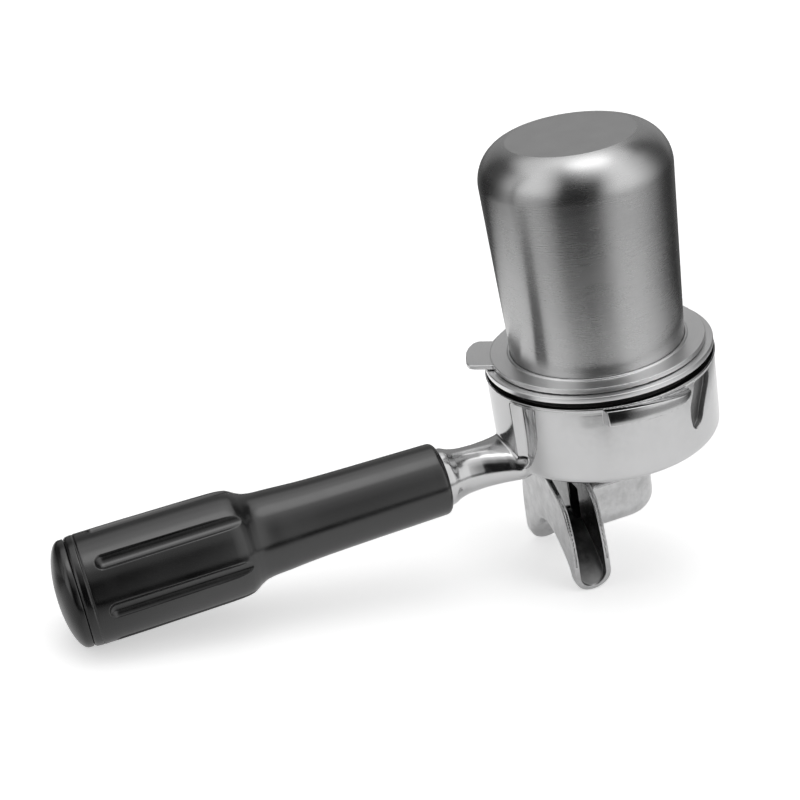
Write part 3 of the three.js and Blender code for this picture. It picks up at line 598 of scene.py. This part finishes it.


# the body takes the as-cast patch and the painted shade under the lip and in the hollows
M_BODY = chrome_cast("chromed_body", 0.60, 0.15, cast_patch_and_shade=True)
M_SPOUT = chrome_cast("chromed_spout", 0.53, 0.2, satin=0.014, trough=True)
M_CUP = turned_steel("brushed_cup_steel", 0.58, 0.27, 0.85, flat_end=(19.6, 72.6, 0.62))
M_FLANGE = turned_steel("machined_steel", 0.84, 0.36, 0.5, streak=1.6)
# the basket carries painted shade on the underside of its lip
M_BASKET = turned_steel("basket_steel", 0.84, 0.3, 0.3, streak=0.5, shade_under_lip=True)
M_SPRING = plain_metal("spring_steel", 0.42, 0.28)
M_ZINC = plain_metal("zinc_plated_steel", 0.5, 0.35)
M_BLACK = moulded_black("black_plastic")
M_SEAL = seal_white("white_seal")

# ------------------------------------------------------------- the body piece
HZ = -24.7
bowl = [
    (5.2, -40.6, 0.0), (7.6, -40.6, 0.0), (8.2, -40.0, 0.0), (8.2, -33.0, 0.0),
    (10.6, -33.0, 0.4), (10.6, -28.1, 1.2), (14.0, -26.5, 3.0), (35.15, -26.5, 3.1), (35.4, -1.2, 0.35),
    (35.7, -0.8, 0.15), (35.7, 0.0, 0.18), (35.15, 0.0, 0.12), (34.3, -0.95, 0.3), (32.4, -0.95, 0.2), (32.0, 1.25, 0.35), (30.7, 1.25, 0.35),
    (30.7, -6.05, 0.1), (31.7, -6.05, 0.1), (31.7, -7.95, 0.1), (30.7, -7.95, 0.1),
    (30.3, -23.2, 2.4), (7.2, -24.0, 1.5), (5.2, -25.6, 0.8),
]
bowl = fillet(bowl, True, 5)
bowl_t = Outline(bowl, 0.08)
neck_x = [-58.6, -55.3, -52.5, -49, -45, -41, -37.5, -34.5, -30.5]
neck_h = pchip(neck_x, [9.4, 9.1, 8.0, 7.3, 7.0, 6.8, 6.6, 6.4, 6.2])
neck_w = pchip(neck_x, [9.4, 9.1, 8.0, 7.3, 7.5, 8.5, 9.9, 11.4, 12.0])
pocket_a = pchip([-25.0, -24.0, -22.5, -20.5, -17.7, -14.0, -10.0, -6, -1.0], [1.5, 4.0, 7.4, 9.8, 12.2, 14.4, 15.4, 15.8, 16.4])
pocket_edge = pchip([-17.2, -16.4, -15.6, -14.8, -12.3, -8.5, -5.9, -4.0, -1.0], [117.0, 119.5, 121.6, 122.7, 124.5, 128.2, 131.3, 132.8, 133.6])
pocket_far = pchip([-17.2, -16.4, -15.6, -14.6, -12.0, -9.0, -6.6, -4.8, -3.0, -1.0], [116.6, 115.6, 114.7, 114.2, 113.6, 113.9, 115.3, 116.6, 117.6, 118.0])
thread = 0.28


def lug(x, y, z, sgn):
    th = np.degrees(np.arctan2(-sgn * y, -sgn * x))
    r = np.hypot(x, y)
    t = np.clip((th - 67.5) / 46.0, 0, 1)
    top = -0.3 - 2.2 * t * t
    out = 38.5 - 1.9 * np.clip((th - 103) / 10.5, 0, 1) ** 2 - 0.045 * np.clip(z + 4.2, 0, 4) ** 2
    k = np.float32(math.pi / 180)
    ends = np.maximum((66.6 + np.clip(r - 35.0, 0, 4) * 0.85 - th) * r * k * 0.9, (th - 113.5) * r * k)
    low = -5.1 + 1.3 * np.clip((th - 97) / 16.5, 0, 1) ** 2
    d = smax(r - out, z - top, 0.3)
    d = smax(d, ends, 0.35)
    d = smax(d, low - z, 0.22)
    return np.maximum(d, 33.6 - r)


def body_f(x, y, z):
    r = np.hypot(x, y)
    d = bowl_t(r, z)
    wall = 35.4 - 0.25 * np.clip((-1.2 - z) / 22.2, 0, 1)
    th = np.degrees(np.arctan2(np.abs(y), -x))
    k = np.float32(math.pi / 180)
    # hollow beside the neck root: upright edge towards the neck, scooped the other way
    s = (th - 15.5) / np.maximum(pocket_a(z), 0.2)
    floor = wall - 2.4 * (1 - np.where(s > 0.36, np.clip((s - 0.36) / 0.64, 0, 2.5) ** 2, np.clip((0.36 - s) / 0.36, 0, 2.5) ** 2))
    pk = smax(floor - r, (14.6 - th) * r * k, 0.5)
    pk = smax(pk, z + 1.75, 0.4)
    pk = smax(pk, -24.1 - z, 2.6)
    # hollow beyond the lug: the far edge leans in downwards
    edge = pocket_edge(z)
    s = (edge - th) / np.maximum(edge - pocket_far(z), 0.3)
    floor = wall - 1.7 * (1 - np.clip(s, 0, 3) ** 2.2)
    pb = smax(floor - r, (th - edge) * r * k * 0.85, 0.3)
    pb = smax(pb, z + 1.75, 0.5)
    pb = smax(pb, -16.9 - z, 1.0)
    d = smax(d, -pk, 0.3)
    d = smax(d, -pb, 0.16)
    # lugs, with a soft root underneath
    near_l = lug(x, y, z, 1.0)
    far_l = lug(x, y, z, -1.0)
    inner = np.maximum(33.7 - r, 0)
    d = np.minimum(smin(d, near_l, 0.15), smin(d, far_l, 0.15))
    # neck
    zz = z - HZ
    tail = np.sqrt(np.clip(1 - ((x + 33.0) / 7.6) ** 2, 0.0004, 1))
    tail = np.where(x > -33.0, tail, 1.0)
    h, w = neck_h(x) * tail, neck_w(x) * np.where(x > -33.0, 0.35 + 0.65 * tail, 1.0)
    h, w = np.maximum(h, 0.15), np.maximum(w, 0.15)
    k0 = np.sqrt((y / w) ** 2 + (zz / h) ** 2) + 1e-6
    k1 = np.sqrt((y / w ** 2) ** 2 + (zz / h ** 2) ** 2) + 1e-6
    nk = k0 * (k0 - 1) / k1
    nk = smax(nk, -58.6 - x, 0.4)
    nk = smax(nk, x + 25.6, 0.3)
    nk = np.maximum(nk, 31.2 - r - 30 * (z < -24.6))
    d = smin(d, nk, 1.1)
    # plain tang inside the grip, drilled for the bolt
    q = np.hypot(y, zz)
    tg = np.maximum(np.maximum(q - 6.6, x + 57.0), -78.0 - x)
    d = np.minimum(d, tg)
    d = np.maximum(d, -np.maximum(q - 3.35, x + 61.0))
    # bowl stays open
    d = np.maximum(d, -np.maximum(r - 30.25, -23.0 - z))
    return d


v, f = surface(body_f, (-79.5, -39.8, -41.8), (39.8, 39.8, 2.4), fine(0.33))
make("body_casting", v, f, "portafilter", M_BODY, ("portafilter_body",), field=body_f)

# ------------------------------------------------------------------ the spout
rim_half = spline([(0, -32.8), (5.1, -33.2), (10.6, -35.6), (14.1, -37.6), (16.6, -40.2), (18.3, -44.5),
                   (19.4, -49.0), (20.2, -55.0), (20.4, -60.8), (20.1, -66.1), (19.2, -69.1)], 40)
under_half = spline([(17.8, -67.7), (13.6, -61.0), (9.6, -57.3), (5.0, -54.4), (0, -53.0)], 24)
floor_half = spline([(0, -50.6), (5.0, -51.8), (9.6, -54.5), (13.6, -58.0), (17.3, -63.1), (19.6, -67.7)], 30)
half = rim_half + [(18.3, -69.1)] + under_half
outer_t = Outline(half + [(-a, b) for a, b in reversed(half[1:-1])], 0.1)
leg_u = [(-12.8, -20)] + arc_pts(-18.9, -63.0, 6.1, 0, -180, 40) + [(-25.0, -20)]
leg_t = Outline(leg_u, 0.1)
hollow_half = floor_half + [(21.5, -72.2), (30, -72.2), (30, -25)]
hollow_t = Outline(hollow_half + [(-a, b) for a, b in reversed(hollow_half[1:])], 0.1)
hollow_u = Outline([(-14.6, -20)] + arc_pts(-18.9, -63.0, 4.3, 0, -180, 32) + [(-23.2, -20)], 0.1)


rim_z = np.array([b for a, b in rim_half][::-1])
rim_ay = np.array([a for a, b in rim_half][::-1])


def spout_f(x, y, z):
    ay = np.abs(y)
    r = np.hypot(x, y)
    d_out = outer_t(ay, z)
    rim_y = np.interp(z, rim_z, rim_ay).astype(np.float32)
    leg = smax(d_out, leg_t(x, z), 0.55 + 2.3 * np.clip((rim_y - ay - 2.0) / 2.5, 0, 1))
    # inlet chamber
    dxy = np.where(x < 0, ay, r) - 11.7
    a, b = dxy + 6.0, (-54.6 + 6.0) - z
    ch = np.sqrt(np.maximum(a, 0) ** 2 + np.maximum(b, 0) ** 2) - 6.0 + np.minimum(np.maximum(a, b), 0)
    ch = smax(ch, z + 37.7, 1.2)
    ch = np.maximum(ch, -14.2 - x)
    d = smin(leg, ch, 1.6)
    col = smax(np.maximum(r - 10.4, -45 - z), z + 34.9, 0.4)
    d = smin(d, col, 0.7)
    hol = smax(hollow_t(ay, z), hollow_u(x, z), 0.3)
    d = smax(d, -hol, 0.35)
    bore = smax(r - 8.5, -51.6 - z, 1.6)
    bore = np.maximum(bore, z + 30)
    d = smax(d, -bore, 0.3)
    win = smax(smax(ay - 4.1, np.abs(z + 46.6) - 5.6, 0.8), np.abs(x + 10.1) - 6.0, 0.1)
    d = smax(d, -win, 0.3)
    # narrow relieved line along the upper part of the rim
    edge = np.abs(d_out)
    gx = np.minimum(np.abs(x + 13.7), np.abs(x + 24.1)) - 0.2
    slit = smax(smax(gx, edge - 0.3, 0.1), -58.6 - z, 0.3)
    slit = np.maximum(slit, 36.5 + z)
    return smax(d, -slit, 0.12)


v, f = surface(spout_f, (-27, -22.3, -71.0), (13.6, 22.3, -31.0), fine(0.3))
make("spout_casting", v, f, "portafilter", M_SPOUT, ("double_spout",), field=spout_f)

washer = fillet([(8.5, -33.3, 0.1), (10.2, -33.3, 0.3), (10.2, -34.6, 0.3), (8.5, -34.6, 0.1)], True, 4)
v, f = lathe(washer, 96)
make("spout_seal", v, f, "portafilter", M_SEAL, ("spout_washer",))

# ------------------------------------------------------------------- the grip
grip_pts = [(-172.0, 16.3), (-171.2, 16.8), (-168, 17.0), (-158.3, 17.0), (-146.6, 16.9), (-134.7, 16.8), (-125.8, 16.6),
            (-122.8, 16.2), (-121.2, 15.5), (-119.4, 14.4), (-117.2, 13.5), (-114.5, 13.1), (-110.6, 12.9), (-104.5, 12.5),
            (-98.5, 12.2), (-89, 11.95), (-73.5, 11.7), (-61, 11.5), (-58.4, 11.45), (-57.3, 11.0), (-56.8, 10.3)]
grip_r = pchip([p[0] for p in grip_pts], [p[1] for p in grip_pts])
xs = np.linspace(-172, -56.8, 500)
grip_t = Outline([(-172, -6)] + [(float(a), float(b)) for a, b in zip(xs, grip_r(xs))] + [(-56.8, -6)], 0.12)
bore_pts = [(-55, 0), (-55, 9.7), (-58.9, 9.7), (-58.9, 6.9), (-78.3, 6.9), (-78.3, 3.3), (-148.8, 3.3), (-148.8, 6.8),
            (-166, 6.8), (-166, 13.2), (-173, 13.2), (-173, 0)]
bore_t = Outline([(a, b if b > 0 else -6) for a, b in bore_pts], 0.15)


def grip_f(x, y, z):
    zz = z - HZ
    q = np.hypot(y, zz)
    d = grip_t(x, q)
    for i in range(7):
        a = math.radians(90 + 360 / 7 * i)
        cy, cz = -math.sin(a) * 18.65, math.cos(a) * 18.65
        dx = x - np.clip(x, -163.0, -120.0)
        cap = np.sqrt((y - cy) ** 2 + (zz - cz) ** 2 + dx * dx) - 3.0
        d = smax(d, -cap, 0.15)
    groove = np.hypot(x + 169.2, q - 17.05) - 0.28
    d = smax(d, -groove, 0.15)
    return np.maximum(d, -bore_t(x, q))


v, f = surface(grip_f, (-173.4, -18.3, HZ - 18.3), (-55.4, 18.3, HZ + 18.3), fine(0.42))
make("grip_moulding", v, f, "portafilter", M_BLACK, ("handle_grip",), field=grip_f)

cap_arc = []
for i in range(29):
    a = math.radians(90 - 88 * i / 28)
    cap_arc.append((16.5 * math.sin(a), -173.4 - 5.2 * math.cos(a)))
cap = fillet([(12.9, -167.0, 0.2), (12.9, -172.3, 0.0), (16.5, -172.3, 0.35)], False, 5)
cap = [(12.9, -167.0), (12.9, -172.06), (16.05, -172.06)] + arc_pts(16.05, -172.51, 0.45, 90, 0, 5)[1:] + cap_arc + [(0, -178.6)]
cap += [(0, -176.4), (7.0, -175.6), (11.4, -173.5), (11.4, -167.0)]
v, f = lathe(cap, 144, about="x", z0=HZ)
make("end_cap_moulding", v, f, "portafilter", M_BLACK, ("handle_end_cap",), sharp=40)

# ------------------------------------------------------------------ the basket
basket = fillet([
    (0, -21.6), (28.4, -21.6, 3.0), (29.9, 1.0, 1.0), (30.4, 1.6, 0.4), (32.7, 1.6, 0.2), (33.0, 1.95, 0.2),
    (35.4, 1.95, 0.12), (35.4, 3.6, 0.3), (29.9, 3.6, 0.8), (29.0, 2.7, 0.7), (27.5, -20.7, 2.1), (0, -20.7)], False, 9)
v, f = lathe(basket, 192, closed=False)
basket_ob = make("perforated_basket", v, f, "basket", M_BASKET, ("filter_basket",), sharp=40)
drill_v, drill_f = [], []
pitch, hole = 1.75, 0.42
rows = int(24.4 / (pitch * 0.866))
for j in range(-rows, rows + 1):
    for i in range(-15, 16):
        hx, hy = (i + 0.5 * (j % 2)) * pitch, j * pitch * 0.866
        if math.hypot(hx, hy) > 24.3:
            continue
        base = len(drill_v)
        for zc in (-22.2, -20.1):
            drill_v += [(hx + hole * math.cos(math.pi / 4 * k), hy + hole * math.sin(math.pi / 4 * k), zc) for k in range(8)]
        drill_f.append(tuple(base + 7 - k for k in range(8)))
        drill_f.append(tuple(base + 8 + k for k in range(8)))
        drill_f += [(base + k, base + (k + 1) % 8, base + 8 + (k + 1) % 8, base + 8 + k) for k in range(8)]
me = bpy.data.meshes.new("drill")
me.from_pydata((np.array(drill_v) / 1000).tolist(), [], drill_f)
drill = bpy.data.objects.new("drill", me)
bpy.context.scene.collection.objects.link(drill)
drill.matrix_world = MAT
mod = basket_ob.modifiers.new("holes", "BOOLEAN")
mod.operation, mod.object, mod.solver = "DIFFERENCE", drill, "MANIFOLD"
bpy.context.view_layer.update()
done = bpy.data.meshes.new_from_object(basket_ob.evaluated_get(bpy.context.evaluated_depsgraph_get()))
basket_ob.modifiers.clear()
if len(done.polygons) > len(f):
    basket_ob.data = done
    done.polygons.foreach_set("use_smooth", np.ones(len(done.polygons), bool))
    done.set_sharp_from_angle(angle=math.radians(40))
bpy.data.objects.remove(drill)

# retaining spring: drawn wire, open ring, rounded ends
n_arc, n_side, wr, ring_r = 180, 12, 0.55, 30.85
verts, faces = [], []
stations = [(8, 0.02), (8.15, 0.3), (8.45, 0.47)] + [(9 + (351 - 9) * i / n_arc, 0.55) for i in range(n_arc + 1)] + [(351.55, 0.47), (351.85, 0.3), (352, 0.02)]
for deg, rr in stations:
    a = math.radians(deg)
    for k in range(n_side):
        q = 2 * math.pi * k / n_side
        rad = ring_r + rr * math.cos(q)
        verts.append((rad * math.cos(a), rad * math.sin(a), -7.0 + rr * math.sin(q)))
for i in range(len(stations) - 1):
    for k in range(n_side):
        j = (k + 1) % n_side
        faces.append((i * n_side + k, (i + 1) * n_side + k, (i + 1) * n_side + j, i * n_side + j))
last = (len(stations) - 1) * n_side
faces.append(tuple(range(n_side)))
faces.append(tuple(last + n_side - 1 - k for k in range(n_side)))
make("retaining_spring_wire", np.array(verts), faces, "portafilter", M_SPRING, ("basket_retaining_spring",))

# -------------------------------------------------------------- the dosing cup
def shoulder(r1, rd, z0, z1, n, top=80.0):
    out = []
    for i in range(n + 1):
        a = math.radians(top * i / n)
        out.append((r1 - (r1 - rd) * (1 - math.cos(a)) / (1 - math.cos(math.radians(top))),
                    z0 + (z1 - z0) * math.sin(a) / math.sin(math.radians(top))))
    return out


cup = [(25.7, 4.75), (26.9, 4.75)] + [(26.9 + 2.1 * i / 12, 4.75 + 56.15 * i / 12) for i in range(1, 12)]
cup += shoulder(29.0, 19.6, 60.9, 72.6, 26) + [(12.0, 72.6), (0, 72.6), (0, 71.4), (12.0, 71.4)]
cup += shoulder(27.8, 19.6, 60.9, 71.4, 26)[::-1] + [(25.7 + 2.1 * i / 12, 4.75 + 56.15 * i / 12) for i in range(11, 0, -1)]
v, f = lathe(cup, 240)
make("cup_shell", v, f, "cup", M_CUP, ("dosing_cup",), sharp=9)

ring = fillet([
    (26.1, -4.0, 0.3), (27.9, -4.0, 0.5), (28.5, -3.4, 0.3), (28.5, 3.9, 0.15), (33.2, 3.9, 0.08), (33.2, 5.5, 0.1), (27.95, 5.5, 0.12), (27.75, 5.95, 0.2), (27.02, 5.95, 0.15), (27.02, 4.45, 0.05), (26.1, 4.45, 0.1)], True, 5)
ring_t = Outline(ring, 0.06)
tab = [(-27.5, 4.0), (-32.6, 3.9, 1.0), (-37.4, 7.4, 1.6), (-38.6, 9.0, 1.2), (-38.6, 11.0, 1.5), (-37.4, 14.6, 6), (-35.9, 18.2, 6),
       (-34.0, 21.0, 4), (-31.8, 22.9, 1.5), (-30.0, 23.3, 1.5), (-24.2, 18.9, 1.0), (-20.5, 17.0)]
tab_t = Outline(fillet([(p[0] * 1.02, p[1] * 1.02) + tuple(p[2:]) for p in tab], True, 6), 0.08)


def ring_f(x, y, z):
    r = np.hypot(x, y)
    d = ring_t(r, z)
    t = tab_t(x, y)
    t = smax(t, np.abs(z - 4.625) - 0.725, 0.3)
    t = np.maximum(t, 30.5 - r)
    return smin(d, t, 0.25)


v, f = surface(ring_f, (-40.9, -35.2, -5.2), (34.7, 35.2, 6.5), fine(0.34))
make("cup_seat_ring", v, f, "cup", M_FLANGE, ("dosing_cup_flange",), field=ring_f)

for node, mat in (("handle_bolt", M_ZINC), ("bolt_flat_washer", M_ZINC), ("bolt_spring_washer", M_SPRING)):
    ob = frame["nodes"][node]
    ob.data.materials.clear()
    ob.data.materials.append(mat)

# ------------------------------------------------------------ camera and stage
cam_data = bpy.data.cameras.new("camera")
cam_data.lens, cam_data.sensor_width = 76.5, 36
cam_data.clip_start, cam_data.clip_end = 0.01, 50
cam = bpy.data.objects.new("camera", cam_data)
right, up, fwd = Vector((0.934526, -0.31489, -0.165863)), Vector((0.283206, 0.37590, 0.882324)), Vector((0.215510, 0.87151, -0.440465))
cam.matrix_world = MAT @ Matrix(((right.x, up.x, -fwd.x, -0.17546), (right.y, up.y, -fwd.y, -0.44629), (right.z, up.z, -fwd.z, 0.23087), (0, 0, 0, 1)))
bpy.context.scene.collection.objects.link(cam)
bpy.context.scene.camera = cam


def round_about(n, az, stops):
    """A tone by compass direction: az in degrees, -180..180, 0 towards -Y; the ends are joined."""
    first, last = stops[0], stops[-1]
    gap = (first[0] + 360) - last[0]
    seam = last[1] + (first[1] - last[1]) * (180 - last[0]) / gap
    full = [(-180, seam)] + list(stops) + [(180, seam)]
    return n.ramp(n.remap(az, -180.0, 180.0, 0.0, 1.0), [((a + 180) / 360, min(c, 2.0) / 2.0) for a, c in full], "LINEAR")


# low: walls and soft boxes round the table; middle: 50 degrees up; high: 66 degrees up
LOW = [(-170, 0.20), (-158, 0.07), (-138, 0.07), (-128, 0.14), (-118, 0.38), (-105, 0.74), (-102, 0.30), (-99, 0.32), (-96.5, 0.92),
       (-86, 1.06), (-72, 1.03), (-60, 0.78), (-50, 0.36), (-43, 0.05), (-36, 0.012), (-12, 0.012), (-3, 0.03), (3, 0.28), (12, 0.72),
       (24, 1.05), (42, 1.08), (56, 0.88), (72, 0.55), (86, 0.24), (98, 0.11), (114, 0.09), (126, 0.24), (142, 0.34), (170, 0.32)]
MIDDLE = [(-176, 0.95), (-160, 0.85), (-135, 0.83), (-112, 1.0), (-96, 1.05), (-78, 0.85), (-66, 0.50), (-55, 0.18), (-42, 0.16), (-28, 0.28),
          (-8, 0.42), (8, 0.72), (28, 1.05), (44, 1.05), (62, 0.80), (80, 0.60), (92, 0.34), (104, 0.12), (120, 0.08), (136, 0.12),
          (148, 0.6), (160, 1.0), (172, 1.05)]
HIGH = [(-172, 1.4), (-150, 1.2), (-120, 0.97), (-84, 0.72), (-54, 0.64), (-36, 0.78), (0, 0.90), (26, 1.15), (70, 1.1), (104, 0.85), (126, 0.95), (156, 1.5), (176, 1.55)]


def band(n, az):
    return n.math("MULTIPLY", round_about(n, az, LOW), 2.0)


world = bpy.data.worlds.new("studio")
bpy.context.scene.world = world
world.use_nodes = True
world.node_tree.nodes.clear()
n = Nodes(world.node_tree)
dirn = n.vmath("NORMALIZE", n.add("ShaderNodeTexCoord").outputs["Generated"])
sx, sy, sz = n.add("ShaderNodeSeparateXYZ", {0: dirn}).outputs
az = n.math("MULTIPLY", n.math("ARCTAN2", sx, n.math("MULTIPLY", sy, -1.0)), 180 / math.pi)
el = n.math("MULTIPLY", n.math("ARCSINE", sz), 180 / math.pi)
low = band(n, az)
middle = n.math("MULTIPLY", round_about(n, az, MIDDLE), 2.0)
high = n.math("MULTIPLY", round_about(n, az, HIGH), 2.0)
env = n.mixf(n.remap(el, 32.0, 50.0, 0, 1, True), low, middle)
env = n.mixf(n.remap(el, 52.0, 66.0, 0, 1, True), env, high)
env = n.mixf(n.remap(el, 70.0, 80.0, 0, 1, True), env, 2.4)
camera_ray = n.add("ShaderNodeLightPath").outputs["Is Camera Ray"]
env = n.mix(camera_ray, env, (1.0, 1.0, 1.0, 1))
bg = n.add("ShaderNodeBackground", {"Color": env, "Strength": 1.0})
out = n.add("ShaderNodeOutputWorld")
world.node_tree.links.new(bg.outputs[0], out.inputs[0])

floor_me = bpy.data.meshes.new("floor")
S = 8.0
floor_me.from_pydata([(-S, -S, 0), (S, -S, 0), (S, S, 0), (-S, S, 0)], [], [(0, 1, 2, 3)])
floor = bpy.data.objects.new("floor", floor_me)
floor.location.z = min(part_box("double_spout")[0].z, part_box("handle_end_cap")[0].z) - 0.0001
bpy.context.scene.collection.objects.link(floor)
m, n, b = new_material("floor_white")
tc = n.add("ShaderNodeTexCoord").outputs["Object"]
fx, fy, fz = n.add("ShaderNodeSeparateXYZ", {0: tc}).outputs
dx = n.math("SUBTRACT", fx, 0.06)
dist = n.math("SQRT", n.math("ADD", n.math("MULTIPLY", dx, dx), n.math("MULTIPLY", fy, fy)))
az = n.math("MULTIPLY", n.math("ARCTAN2", dx, n.math("MULTIPLY", fy, -1.0)), 180 / math.pi)
far_tone = n.math("MULTIPLY", band(n, az), 0.42)
path = n.add("ShaderNodeLightPath").outputs
# the white top ends nearer on the side of the dark gap between the soft boxes
ends = n.ramp(n.remap(az, -180.0, 180.0, 0.0, 1.0), [(0.0, 0.195), (0.139, 0.195), (0.19, 0.17), (0.25, 0.13), (0.33, 0.112), (0.458, 0.115), (0.489, 0.142),
                                                     (0.528, 0.165), (0.556, 0.2), (0.611, 0.22), (0.667, 0.225), (0.8, 0.225), (0.9, 0.2), (1.0, 0.195)])
gone = n.math("DIVIDE", n.math("SUBTRACT", dist, ends), 0.05, clamp=True)
gloss = n.math("MULTIPLY", path["Is Glossy Ray"], gone)
glow = n.math("ADD", 0.28, n.math("MULTIPLY", path["Is Camera Ray"], 0.22))
n.set(b, "Base Color", n.mix(gloss, (0.92, 0.92, 0.92, 1), (0.0, 0.0, 0.0, 1)))
n.set(b, "Roughness", 0.9)
n.set(b, "Specular IOR Level", 0.0)
n.set(b, "Emission Color", n.mix(gloss, n.add("ShaderNodeCombineXYZ", {0: glow, 1: glow, 2: glow}).outputs[0], far_tone))
n.set(b, "Emission Strength", 1.0)
floor_me.materials.append(m)

bpy.context.scene.view_settings.view_transform = "Standard"
bpy.context.scene.view_settings.look = "None"
